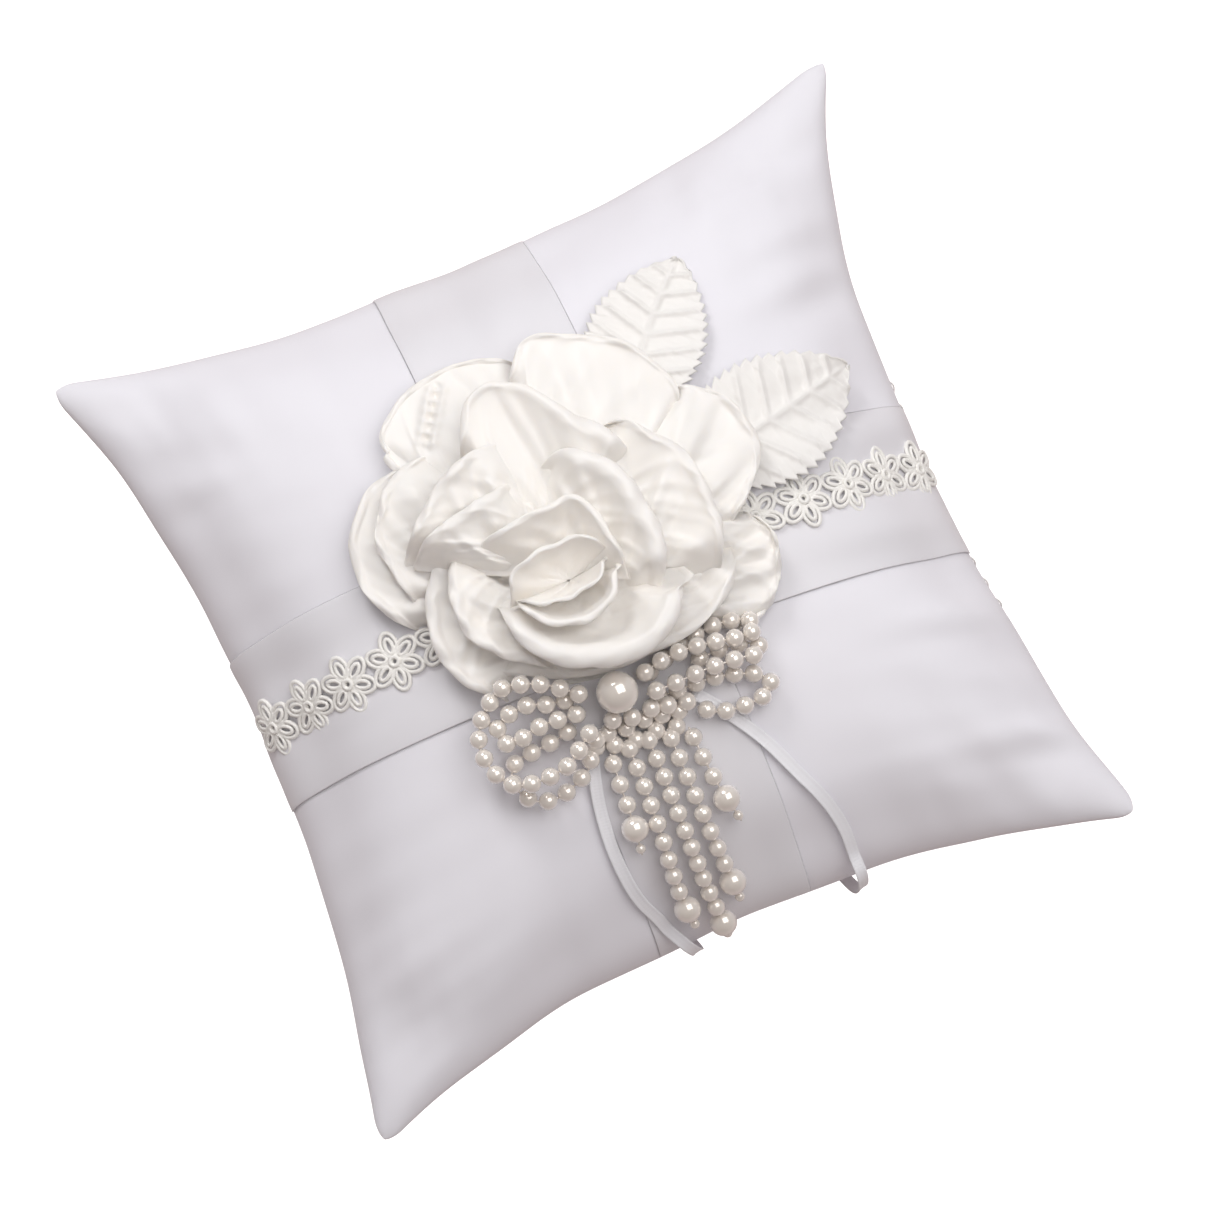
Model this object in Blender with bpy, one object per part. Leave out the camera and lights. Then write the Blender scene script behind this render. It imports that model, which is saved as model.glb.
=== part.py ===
"""Ring bearer pillow: a stuffed satin pillow with two crossing sashes, daisy lace, a satin rose with two
leaves, and a bow of strung pearls with five swinging tails and two narrow tie ribbons.

Frame: +Z up, +X to the right along the crosswise sash, +Y to the back edge. The origin lies under the
middle of the pillow, on the surface that it rests on.
"""

import math

import bmesh
import bpy
from mathutils import Vector

mm = 0.001

# Pillow
pillow_side = 200 * mm      # corner to corner, along one seam
edge_pinch = 12 * mm        # how far the middle of each seam is drawn in
seam_height = 28 * mm       # seam line above the resting surface
front_crown = 38 * mm       # crown of the front panel above the seam
back_crown = 34 * mm        # crown of the back panel below the seam, before it is pressed flat
crown_power = 0.5           # roundness of the padded edge
cloth = 0.8 * mm
cloth_gap = 0.4 * mm        # between pieces of cloth that lie on each other
seam_gap = 0.4 * mm         # between the two panels at the seam
edge_inset = 1.6            # drawing in of a panel's inner face at the seam, in cloth thicknesses
panel_steps = 14
cloth_limit = 0.999         # the cloth coordinates of a place outside the seams are held to this
place_rounds = 12           # rounds that settle a plan place's cloth coordinates
normal_step = 0.0005

# Hand-closed seam
stitch_thread = 0.6 * mm
stitch_pitch = 6 * mm
stitch_reach = 1.2 * mm     # above and below the seam line
opening_length = 70 * mm
opening_middle = -8 * mm

# Sashes and lace
sash_width = 40 * mm
sash_cloth = 0.4 * mm
sash_lift = 0.6 * mm
sash_columns = (-1, -0.33, 0.33, 1)
lengthwise_centre = -1.5 * mm
crosswise_left = 0 * mm
crosswise_right = -7 * mm
lace_pitch = 13.3 * mm
lace_width = 14 * mm
lace_neck = 3 * mm
lace_thickness = 0.9 * mm
lace_steps = 6              # stations along one daisy
lace_swell = 0.6            # roundness of one daisy's outline
lace_reach = 0.998          # share of the way to the seams
lace_samples = 400          # points that measure the crown's length

# Rose
rose_core = (-9 * mm, -4 * mm)
petal_cloth = 0.6 * mm
petal_steps = 8
petal_rings = 3
petal_power = 1.3
first_petal_lift = 5.2 * mm
petal_level = 0.95 * mm
bud_radius = 6.5 * mm
bud_top = 24 * mm
bud_sides = 10
backing_sides = 16
backing_radius = 22 * mm
backing_thickness = 1 * mm

# Leaves
leaf_thickness = 0.8 * mm
leaf_lift = 2.6 * mm
leaf_teeth = 9
leaf_tooth = 1.2 * mm
leaf_teeth_from = 0.1       # share of the leaf's length where the teeth start
leaf_teeth_to = 0.95
leaf_fold = 0.8 * mm        # rise of the leaf's sides over its midrib
leaf_least = 0.6 * mm       # half width at the tip and the stalk
leaf_lean = 0.9             # under 1 puts the greatest width nearer the stalk
leaf_fullness = 0.75

# Pearls
bead_diameter = 4.3 * mm
bead_pitch = 4.6 * mm
end_pearl = 6.6 * mm
seed_bead = 2.5 * mm
thread_radius = 0.3 * mm
bead_flat = 0.24            # half length of a bead's widest stretch, in bead diameters
bead_full = 0.45            # radius of that stretch, in bead diameters
strand_samples = 240
centre_pearl = 10 * mm
knot_centre = (-8.8 * mm, -32.2 * mm)
knot_radius = 2.6 * mm
knot_height = 4.6 * mm
knot_gap = 0.4 * mm
knot_sides = 10
bead_rest = 1.3 * mm        # under the beads of a tail, so that they clear the lengthwise sash

# Tie ribbons
ribbon_width = 3 * mm
ribbon_points = 30

# Smooth routes
route_steps = 16            # fine points between two given ones
route_samples = 60
upper_samples = 24          # for the part of a tie ribbon that lies on the pillow
tiny = 1e-12


# ---------------------------------------------------------------- the padded shape

half_side = pillow_side / 2


def seam_plan(p, q):
    """Plan place of the pillow's cloth coordinates p and q, each from -1 to 1 between opposite seams."""
    x = p * (half_side - edge_pinch * (1 - q * q))
    y = q * (half_side - edge_pinch * (1 - p * p))
    return x, y


def cloth_place(x, y):
    """The cloth coordinates over a plan place, held inside the seams."""
    p = x / half_side
    q = y / half_side
    for _ in range(place_rounds):
        p = max(-cloth_limit, min(cloth_limit, x / (half_side - edge_pinch * (1 - q * q))))
        q = max(-cloth_limit, min(cloth_limit, y / (half_side - edge_pinch * (1 - p * p))))
    return p, q


def crown(p, q):
    return max(0.0, (1 - p * p) * (1 - q * q)) ** crown_power


def front_point(p, q):
    x, y = seam_plan(p, q)
    return Vector((x, y, seam_height + seam_gap / 2 + front_crown * crown(p, q)))


def front_normal(p, q):
    """Outward direction of the front panel, from two short steps over the cloth."""
    low_p, high_p = max(-1, p - normal_step), min(1, p + normal_step)
    low_q, high_q = max(-1, q - normal_step), min(1, q + normal_step)
    along_p = front_point(high_p, q) - front_point(low_p, q)
    along_q = front_point(p, high_q) - front_point(p, low_q)
    return along_p.cross(along_q).normalized()


def on_pillow(x, y, lift):
    """A point at a height over the front panel, measured square to its surface."""
    p, q = cloth_place(x, y)
    return front_point(p, q) + front_normal(p, q) * lift


def above_pillow(x, y, lift):
    """A point straight above the front panel."""
    p, q = cloth_place(x, y)
    return Vector((x, y, front_point(p, q).z + lift))


# ---------------------------------------------------------------- building helpers


def material(name, colour, roughness, metallic=0.0):
    found = bpy.data.materials.get(name)
    if found:
        return found
    made = bpy.data.materials.new(name)
    made.use_nodes = True
    shader = made.node_tree.nodes["Principled BSDF"]
    shader.inputs["Base Color"].default_value = (*colour, 1)
    shader.inputs["Roughness"].default_value = roughness
    shader.inputs["Metallic"].default_value = metallic
    return made


def cover_satin():
    return material("cover_satin", (0.86, 0.86, 0.90), 0.45)


def sash_satin():
    return material("sash_satin", (0.82, 0.82, 0.86), 0.3)


def rose_satin():
    return material("rose_satin", (0.93, 0.91, 0.86), 0.4)


def pearl_finish():
    return material("pearl", (0.92, 0.88, 0.82), 0.18)


def ivory_thread():
    return material("ivory_thread", (0.92, 0.90, 0.84), 0.7)


def add_object(name, mesh, finish, origin=(0, 0, 0)):
    """Places a mesh made in the pillow's frame, with the object's own origin moved to a chosen point."""
    origin = Vector(origin)
    for vertex in mesh.vertices:
        vertex.co -= origin
    obj = bpy.data.objects.new(name, mesh)
    obj.location = origin
    mesh.materials.append(finish)
    bpy.context.scene.collection.objects.link(obj)
    return obj


def finish_mesh(name, bm, finish):
    bmesh.ops.recalc_face_normals(bm, faces=bm.faces)
    if bm.calc_volume(signed=True) < 0:
        bmesh.ops.reverse_faces(bm, faces=bm.faces)
    mesh = bpy.data.meshes.new(name)
    bm.to_mesh(mesh)
    bm.free()
    return add_object(name, mesh, finish)


def sheet_body(name, rows_low, rows_high, finish):
    """A closed body between two grids of points with the same rows and columns."""
    bm = bmesh.new()
    low = [[bm.verts.new(point) for point in row] for row in rows_low]
    high = [[bm.verts.new(point) for point in row] for row in rows_high]
    last_row = len(low) - 1
    last_column = len(low[0]) - 1
    for i in range(last_row):
        for j in range(last_column):
            bm.faces.new((high[i][j], high[i + 1][j], high[i + 1][j + 1], high[i][j + 1]))
            bm.faces.new((low[i][j], low[i][j + 1], low[i + 1][j + 1], low[i + 1][j]))
    for i in range(last_row):
        for j in (0, last_column):
            bm.faces.new((low[i][j], low[i + 1][j], high[i + 1][j], high[i][j]))
    for j in range(last_column):
        for i in (0, last_row):
            bm.faces.new((low[i][j], low[i][j + 1], high[i][j + 1], high[i][j]))
    return finish_mesh(name, bm, finish)


def smooth_route(points, samples):
    """Evenly spaced points on a smooth curve through the given ones."""
    ends = [2 * points[0] - points[1], *points, 2 * points[-1] - points[-2]]
    fine = []
    for before, start, end, after in zip(ends, ends[1:], ends[2:], ends[3:]):
        for step in range(route_steps):
            t = step / route_steps
            fine.append(
                0.5
                * (
                    2 * start
                    + (end - before) * t
                    + (2 * before - 5 * start + 4 * end - after) * t**2
                    + (3 * start - before - 3 * end + after) * t**3
                )
            )
    fine.append(points[-1])
    lengths = [0.0]
    for first, second in zip(fine, fine[1:]):
        lengths.append(lengths[-1] + (second - first).length)
    wanted = [lengths[-1] * k / (samples - 1) for k in range(samples)]
    return [point_at(fine, lengths, distance) for distance in wanted]


def point_at(fine, lengths, distance):
    for k in range(1, len(fine)):
        if lengths[k] >= distance - tiny:
            share = (distance - lengths[k - 1]) / max(lengths[k] - lengths[k - 1], tiny)
            return fine[k - 1].lerp(fine[k], share)
    return fine[-1]


def route_over_pillow(places, samples=route_samples):
    """A smooth route given as plan places in millimetres, each with its height over the front panel."""
    smooth = smooth_route([Vector(place) * mm for place in places], samples)
    return [on_pillow(point.x, point.y, point.z) for point in smooth]


def add_curve(name, points, radii, finish, sides_step, origin=(0, 0, 0)):
    """A tube along the points, with its own radius at each one."""
    origin = Vector(origin)
    curve = bpy.data.curves.new(name, "CURVE")
    curve.dimensions = "3D"
    curve.twist_mode = "MINIMUM"
    curve.bevel_depth = 1
    curve.bevel_resolution = sides_step
    curve.use_fill_caps = True
    spline = curve.splines.new("POLY")
    spline.points.add(len(points) - 1)
    for place, point, radius in zip(spline.points, points, radii):
        place.co = (*(point - origin), 1)
        place.radius = radius
    curve.materials.append(finish)
    obj = bpy.data.objects.new(name, curve)
    obj.location = origin
    bpy.context.scene.collection.objects.link(obj)
    return obj


# ---------------------------------------------------------------- pillow


def cloth_lines():
    """Cloth coordinates of the grid lines, closer together at the padded edge."""
    return [math.sin(math.pi / 2 * (2 * k / panel_steps - 1)) for k in range(panel_steps + 1)]


def panel_rows(height, inset, start, low_limit=None):
    """Grid of one face of a panel: height is its crown, inset its distance in from the seam."""
    shrink = 1 - inset / half_side
    rows = []
    for p in cloth_lines():
        row = []
        for q in cloth_lines():
            x, y = seam_plan(p, q)
            z = start + height * crown(p, q)
            if low_limit is not None:
                z = max(z, low_limit)
            row.append(Vector((x * shrink, y * shrink, z)))
        rows.append(row)
    return rows


def make_panels():
    top_start = seam_height + seam_gap / 2
    bottom_start = seam_height - seam_gap / 2
    sheet_body(
        "front_panel",
        panel_rows(front_crown - cloth, edge_inset * cloth, top_start),
        panel_rows(front_crown, 0, top_start),
        cover_satin(),
    )
    sheet_body(
        "back_panel",
        panel_rows(-back_crown, 0, bottom_start, 0.0),
        panel_rows(-(back_crown - cloth), edge_inset * cloth, bottom_start, cloth),
        cover_satin(),
    )


def make_filling():
    inset = edge_inset * (cloth + cloth_gap)
    bed = cloth + cloth_gap
    top = panel_rows(front_crown - bed, inset, seam_height)
    bottom = panel_rows(-(back_crown - bed), inset, seam_height, bed)
    bm = bmesh.new()
    last = panel_steps
    high = [[bm.verts.new(point) for point in row] for row in top]
    low = []
    for i, row in enumerate(bottom):
        rim_row = i in (0, last)
        low.append([high[i][j] if rim_row or j in (0, last) else bm.verts.new(c) for j, c in enumerate(row)])
    for i in range(last):
        for j in range(last):
            bm.faces.new((high[i][j], high[i + 1][j], high[i + 1][j + 1], high[i][j + 1]))
            bm.faces.new((low[i][j], low[i][j + 1], low[i + 1][j + 1], low[i + 1][j]))
    finish_mesh("fibre_filling", bm, material("fibre", (0.9, 0.9, 0.9), 0.9))


def make_closing_stitch():
    """Whip stitches that close the opening in the right-hand seam."""
    count = int(opening_length / stitch_pitch)
    points = []
    for k in range(2 * count + 1):
        y = opening_middle - opening_length / 2 + k * stitch_pitch / 2
        x, _ = seam_plan(1, y / half_side)
        side = 1 if k % 2 else -1
        points.append(Vector((x + stitch_thread + cloth_gap, y, seam_height + side * stitch_reach)))
    add_curve("closing_stitch", points, [stitch_thread / 2] * len(points), ivory_thread(), 0)


# ---------------------------------------------------------------- sashes and lace


def crosswise_centre(x):
    return crosswise_left + (crosswise_right - crosswise_left) * (x / half_side + 1) / 2


def strip_rows(stations, across, place, lift, thickness):
    low, high = [], []
    for s in stations:
        low_row, high_row = [], []
        for a in across:
            x, y = place(s, a)
            low_row.append(on_pillow(x, y, lift))
            high_row.append(on_pillow(x, y, lift + thickness))
        low.append(low_row)
        high.append(high_row)
    return low, high


def make_lengthwise_sash():
    def place(q, a):
        x = lengthwise_centre + a * sash_width / 2
        return x, q * (half_side - edge_pinch * (1 - (x / half_side) ** 2))

    low, high = strip_rows(cloth_lines(), sash_columns, place, sash_lift, sash_cloth)
    sheet_body("lengthwise_sash", low, high, sash_satin())


def crosswise_lift():
    return sash_lift + sash_cloth + cloth_gap


def make_crosswise_sash():
    def place(p, a):
        y = crosswise_centre(p * half_side) + a * sash_width / 2
        return p * (half_side - edge_pinch * (1 - (y / half_side) ** 2)), y

    low, high = strip_rows(cloth_lines(), sash_columns, place, crosswise_lift(), sash_cloth)
    sheet_body("crosswise_sash", low, high, sash_satin())


def lace_lift():
    return crosswise_lift() + sash_cloth + cloth_gap


def crosswise_stations(spacing):
    """Places along the crosswise sash's middle, evenly spaced over the crown, from seam to seam."""
    reach = half_side - edge_pinch
    line = []
    for k in range(lace_samples + 1):
        x = reach * lace_reach * (2 * k / lace_samples - 1)
        line.append(on_pillow(x, crosswise_centre(x), lace_lift()))
    lengths = [0.0]
    for first, second in zip(line, line[1:]):
        lengths.append(lengths[-1] + (second - first).length)
    count = int(lengths[-1] / spacing)
    start = (lengths[-1] - count * spacing) / 2
    return [point_at(line, lengths, start + k * spacing).x for k in range(count + 1)]


def make_daisy_lace():
    """Joined daisies: a strip whose width swells once for each flower."""
    low, high = [], []
    for k, x in enumerate(crosswise_stations(lace_pitch / lace_steps)):
        phase = (k % lace_steps) / lace_steps
        swell = math.sin(math.pi * phase) ** lace_swell
        width = lace_neck + (lace_width - lace_neck) * swell
        y = crosswise_centre(x)
        low.append([on_pillow(x, y + side * width / 2, lace_lift()) for side in (-1, 1)])
        high.append([on_pillow(x, y + side * width / 2, lace_lift() + lace_thickness) for side in (-1, 1)])
    sheet_body("daisy_lace", low, high, ivory_thread())


# ---------------------------------------------------------------- rose

# Each petal: level from the lowest, height of its rim above the pillow, share of the way in from the rim
# where its cloth ends, and its rim in plan, in millimetres, chosen by hand.
petals = {
    "outer_petal_pleated": (0, 6.5, 0.5, [(-33, 40), (-33, 48), (-25, 55), (-16, 58), (-6, 57), (3, 53)]),
    "outer_petal_left": (0, 6.5, 0.5, [(-36, 38), (-46, 32), (-51, 24), (-51, 16), (-47, 9), (-41, 3)]),
    "outer_petal_right_low": (0, 6.5, 0.5, [(36, -3), (38, -10), (37, -17), (33, -22), (26, -24)]),
    "outer_petal_right": (1, 9, 0.5, [(33, 31), (40, 27), (45, 20), (46, 13), (43, 6), (36, -3)]),
    "outer_petal_left_upper": (1, 9, 0.5, [(-32, 41), (-40, 36), (-44, 28), (-45, 20), (-43, 12), (-39, 5)]),
    "outer_petal_front": (1, 10, 0.4, [(-24, -20), (-16, -23), (-5, -24), (8, -23), (20, -20), (28, -13)]),
    "outer_petal_top": (2, 10.5, 0.5, [(-5, 51), (2, 55), (10, 56), (20, 51), (29, 43), (34, 33), (32, 26)]),
    "outer_petal_left_low": (2, 10, 0.45, [(-35, 13), (-40, 6), (-41, -2), (-39, -10), (-33, -17),
                                           (-25, -20)]),
    "middle_petal_right": (3, 15, 0.45, [(17, 26), (24, 19), (28, 12), (29, 4), (29, -4), (26, -13)]),
    "middle_petal_left_low": (3, 14, 0.45, [(-32, 12), (-34, 4), (-34, -5), (-30, -14), (-22, -18)]),
    "middle_petal_cup": (4, 17, 0.4, [(-17, 39), (-12, 46), (-6, 48), (0, 43), (6, 33), (11, 25), (16, 18)]),
    "middle_petal_left": (5, 18, 0.4, [(-9, 33), (-20, 30), (-30, 23), (-36, 15)]),
    "inner_petal_left": (6, 20, 0.4, [(-11, 22), (-20, 20), (-27, 15), (-31, 8)]),
    "inner_petal_right": (7, 22.5, 0.4, [(-2, 23), (6, 19), (11, 11), (13, 3), (13, -6), (10, -13)]),
    "inner_petal_front": (6, 20, 0.45, [(-24, -4), (-24, -11), (-20, -17), (-13, -20), (-4, -21), (6, -19),
                                        (11, -13)]),
    "heart_petal_front": (8, 23, 0.6, [(-22, -4), (-20, -10), (-15, -14), (-9, -15), (-2, -13), (2, -7)]),
    "heart_petal_back": (8, 23.5, 0.6, [(-20, 1), (-14, 6), (-7, 8), (-1, 6), (3, 0)]),
}

# The rose's heart and its felt: share of the radius, and height over the pillow, from the lowest ring up.
bud_level = 9
bud_form = [(0.6, 16 * mm), (0.85, 20 * mm), (0.9, 22.5 * mm), (0.6, bud_top), (0.25, bud_top - 1 * mm)]
bud_foot = 0.35
backing_form = (0.05, 0.5, 1)


def rose_lift(level):
    return first_petal_lift + level * petal_level


def make_petal(name, level, rim_height, inner_share, rim):
    """A bowl-shaped petal: it rises from its level by the core to its rim, and clears every other level."""
    centre = Vector((*rose_core, 0))
    rim_points = smooth_route([Vector((x * mm, y * mm, 0)) for x, y in rim], petal_steps + 1)
    foot = rose_lift(level)
    low, high = [], []
    for rim_point in rim_points:
        low_row, high_row = [], []
        for ring in range(petal_rings + 1):
            share = inner_share + (1 - inner_share) * ring / petal_rings
            place = centre.lerp(rim_point, share)
            lift = foot + (rim_height * mm - foot) * share**petal_power
            high_row.append(above_pillow(place.x, place.y, lift))
            low_row.append(above_pillow(place.x, place.y, lift - petal_cloth))
        low.append(low_row)
        high.append(high_row)
    sheet_body(name, low, high, rose_satin())


def ring_points(radius, height, count):
    points = []
    for k in range(count):
        angle = 2 * math.pi * k / count
        x = rose_core[0] + radius * math.cos(angle)
        y = rose_core[1] + radius * math.sin(angle)
        points.append(above_pillow(x, y, height))
    return points


def stacked_body(name, rings, finish):
    """A closed body through rings of points, each with the same count, from the lowest up."""
    bm = bmesh.new()
    rows = [[bm.verts.new(point) for point in ring] for ring in rings]
    count = len(rows[0])
    for lower, upper in zip(rows, rows[1:]):
        for k in range(count):
            after = (k + 1) % count
            bm.faces.new((lower[k], lower[after], upper[after], upper[k]))
    bm.faces.new(list(reversed(rows[0])))
    bm.faces.new(rows[-1])
    return finish_mesh(name, bm, finish)


def make_bud():
    sizes = [(bud_foot, rose_lift(bud_level)), *bud_form]
    rings = [ring_points(bud_radius * share, height, bud_sides) for share, height in sizes]
    stacked_body("rose_bud", rings, rose_satin())


def make_backing():
    """Round of felt that the petals and the leaves are sewn to."""
    low = lace_lift() + lace_thickness + cloth_gap
    high = low + backing_thickness
    sizes = [(share, low) for share in backing_form]
    sizes += [(share, high) for share in reversed(backing_form)]
    rings = [ring_points(backing_radius * share, height, backing_sides) for share, height in sizes]
    stacked_body("rose_backing", rings, material("felt", (0.9, 0.89, 0.85), 0.9))


# ---------------------------------------------------------------- leaves

# Stalk end, tip, and greatest width, in millimetres.
leaves = {
    "back_leaf": ((24, 35), (48.5, 63), 28),
    "right_leaf": ((31, 14), (76, 24), 31),
}


def make_leaf(name, stalk, tip, width):
    start = Vector((stalk[0] * mm, stalk[1] * mm, 0))
    end = Vector((tip[0] * mm, tip[1] * mm, 0))
    along = (end - start).normalized()
    aside = Vector((-along.y, along.x, 0))
    stations = 2 * leaf_teeth
    low, high = [], []
    for k in range(stations + 1):
        share = k / stations
        half = width * mm / 2 * math.sin(math.pi * share**leaf_lean) ** leaf_fullness
        if k % 2 and leaf_teeth_from < share < leaf_teeth_to:
            half += leaf_tooth
        half = max(half, leaf_least)
        middle = start.lerp(end, share)
        low_row, high_row = [], []
        for side in (-1, 0, 1):
            place = middle + aside * side * half
            fold = leaf_fold * abs(side)
            low_row.append(above_pillow(place.x, place.y, leaf_lift + fold))
            high_row.append(above_pillow(place.x, place.y, leaf_lift + fold + leaf_thickness))
        low.append(low_row)
        high.append(high_row)
    sheet_body(name, low, high, rose_satin())


# ---------------------------------------------------------------- pearl bow

# Loops: places in plan, in millimetres, and how many beads high the strand runs there. Each runs out from
# the knot and back to it.
pearl_loops = {
    "left_pearl_loop_outer": [(-14.5, -28.5, 1), (-18.5, -23.6, 0.9), (-25, -19.8, 0.65), (-31, -18.6, 0.45),
                              (-37, -22, 0.35), (-40.5, -29, 0.35), (-40, -35.5, 0.65), (-36, -39.6, 1.05),
                              (-30, -40.6, 1.1), (-23.5, -39, 1.1), (-18.5, -35.8, 1.1), (-15, -33.4, 1.1)],
    "left_pearl_loop_inner": [(-14.4, -29.5, 0.05), (-20, -25.2, 0), (-26, -23.8, 0), (-32, -24.4, 0),
                              (-35.3, -27.8, 0), (-32, -30.6, 0), (-25, -30, 0), (-19, -30.6, 0)],
    "left_pearl_loop_lower": [(-15, -34.8, 0), (-20.4, -38.6, 0), (-24, -43.4, 0), (-30, -45.6, 0),
                              (-35, -43.2, 0), (-35.2, -38.4, 0), (-30, -36, 0), (-23.5, -35.3, 0),
                              (-19, -33.6, 0.05)],
    "right_pearl_loop_upper": [(-3, -29, 1), (3, -27.6, 1), (9, -27.2, 0.95), (15, -27.8, 0.9), (21, -29, 0.8),
                               (26.4, -28.8, 0.5), (25.6, -26, 0), (19, -24.6, 0), (12, -25.2, 0),
                               (5, -27.2, 0), (-1.5, -29.4, 0)],
    "right_pearl_loop_inner": [(-2.6, -33, 1.1), (4, -33.2, 1.05), (12, -33, 1), (19.5, -33.6, 0.85),
                               (25.6, -34.4, 0.5), (25, -31.4, 0), (18, -30, 0), (10, -30.4, 0)],
    "right_pearl_loop_lower": [(-2, -34.4, 0), (5, -35, 0), (12, -35.2, 0), (18, -36.4, 0),
                               (24, -39, 0), (25, -42.6, 0), (19.5, -43.8, 0), (12, -43, 0),
                               (7.5, -40, 0)],
}

# Tails: plan of the strand from its hinge end to its last bead, in millimetres.
pearl_tails = {
    "pearl_tail_1": [(-15, -42), (-15.8, -50), (-16.6, -58), (-17.8, -65)],
    "pearl_tail_2": [(-10.4, -40.5), (-10.5, -50), (-10.9, -62), (-11.4, -72), (-11.2, -84)],
    "pearl_tail_3": [(-5.6, -40.5), (-5.5, -50), (-5.8, -62), (-5.8, -74), (-4.8, -87)],
    "pearl_tail_4": [(-0.8, -42), (-0.8, -50), (-0.8, -60), (-0.4, -70), (1.2, -83)],
    "pearl_tail_5": [(4, -43.5), (4.4, -51), (5.2, -59), (6.6, -67)],
}


def bead_profile(length, last_beads=()):
    """Distances along a strand with the radius at each: beads with thread between, then the last beads."""
    tail_length = sum(last_beads)
    count = int((length - tail_length) / bead_pitch)
    sizes = [bead_diameter] * count + list(last_beads)
    slack = (length - count * bead_pitch - tail_length) / len(sizes)
    profile = [(0.0, thread_radius)]
    start = 0.0
    for size in sizes:
        room = (bead_pitch if size == bead_diameter else size) + slack
        middle = start + room / 2
        profile.append((middle - bead_flat * size, bead_full * size))
        profile.append((middle + bead_flat * size, bead_full * size))
        start += room
        profile.append((start, thread_radius))
    return profile


def make_strand(name, route, last_beads=(), origin=(0, 0, 0)):
    fine = smooth_route(route, strand_samples)
    lengths = [0.0]
    for first, second in zip(fine, fine[1:]):
        lengths.append(lengths[-1] + (second - first).length)
    profile = bead_profile(lengths[-1], last_beads)
    points = [point_at(fine, lengths, distance) for distance, _ in profile]
    return add_curve(name, points, [radius for _, radius in profile], pearl_finish(), 1, origin)


def make_loops():
    lowest = crosswise_lift() + sash_cloth + cloth_gap + bead_diameter / 2
    for name, route in pearl_loops.items():
        places = [(x, y, (lowest + layer * bead_pitch) / mm) for x, y, layer in route]
        make_strand(name, route_over_pillow(places))


def make_tails():
    for name, route in pearl_tails.items():
        first = bead_diameter / 2 + bead_rest
        last = end_pearl / 2 + bead_rest
        steps = len(route) - 1
        lifts = [(first + (last - first) * k / steps) / mm for k in range(steps + 1)]
        places = route_over_pillow([(x, y, lift) for (x, y), lift in zip(route, lifts)])
        make_strand(name, places, (end_pearl, seed_bead), places[0])


# The knot's section: share of its radius, and share of its height.
knot_form = ((0.8, 0), (1, 0.25), (1, 0.75), (0.8, 1))


def make_knot():
    """Thread wound round the middle of the bow, and the pearl that sits on it."""
    x, y = knot_centre
    foot = crosswise_lift()
    rings = []
    for share, height in knot_form:
        ring = []
        for k in range(knot_sides):
            angle = 2 * math.pi * k / knot_sides
            radius = knot_radius * share
            ring.append(above_pillow(x, y, foot + height * knot_height))
            ring[-1] += Vector((radius * math.cos(angle), radius * math.sin(angle), 0))
        rings.append(ring)
    stacked_body("bow_knot", rings, ivory_thread())
    bm = bmesh.new()
    bmesh.ops.create_uvsphere(bm, u_segments=12, v_segments=8, radius=centre_pearl / 2)
    centre = above_pillow(x, y, foot + knot_height + knot_gap + centre_pearl / 2)
    bmesh.ops.translate(bm, verts=bm.verts, vec=centre)
    finish_mesh("centre_pearl", bm, pearl_finish())


# ---------------------------------------------------------------- tie ribbons

# Route on the pillow as plan places, then on down over the front edge and in under it as full points.
tie_ribbons = {
    "right_tie_ribbon": (
        [(15.5, -48.5), (19.5, -54), (23.5, -62), (27.5, -71), (29.8, -79), (30.4, -85)],
        [(30.4, -93.5, 34), (30, -95.5, 26), (29.4, -92, 16), (29, -84, 6), (31, -76, 2.1), (38, -71, 2.1),
         (47, -70, 2.1), (56, -73, 2.1), (65, -77, 2.1), (75, -80, 2.1), (86, -80, 2.1)],
    ),
    "left_tie_ribbon": (
        [(-21.5, -50.5), (-22.2, -56), (-22.5, -63), (-22, -71), (-20.8, -79), (-19, -85)],
        [(-17.4, -93.8, 34), (-16.4, -95.8, 26), (-16, -92, 16), (-16.4, -84, 6), (-19, -76, 2.1),
         (-27, -71, 2.1), (-36, -70, 2.1), (-45, -72, 2.1), (-54, -76, 2.1), (-64, -79, 2.1), (-76, -80, 2.1),
         (-86, -79, 2.1)],
    ),
}


def make_tie_ribbons():
    radius = ribbon_width / 2
    lift = crosswise_lift() + radius
    for name, (upper, lower) in tie_ribbons.items():
        route = route_over_pillow([(x, y, lift / mm) for x, y in upper], upper_samples)
        route += [Vector(point) * mm for point in lower]
        points = smooth_route(route, ribbon_points)
        add_curve(name, points, [radius] * len(points), sash_satin(), 2)


def main():
    for obj in list(bpy.data.objects):
        bpy.data.objects.remove(obj)
    make_panels()
    make_filling()
    make_closing_stitch()
    make_lengthwise_sash()
    make_crosswise_sash()
    make_daisy_lace()
    make_backing()
    make_bud()
    for name, (level, rim_height, inner_share, rim) in petals.items():
        make_petal(name, level, rim_height, inner_share, rim)
    for name, (stalk, tip, width) in leaves.items():
        make_leaf(name, stalk, tip, width)
    make_knot()
    make_loops()
    make_tails()
    make_tie_ribbons()


main()
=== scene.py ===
import math

import bmesh
import bpy
from mathutils import Matrix, Vector, noise


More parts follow.
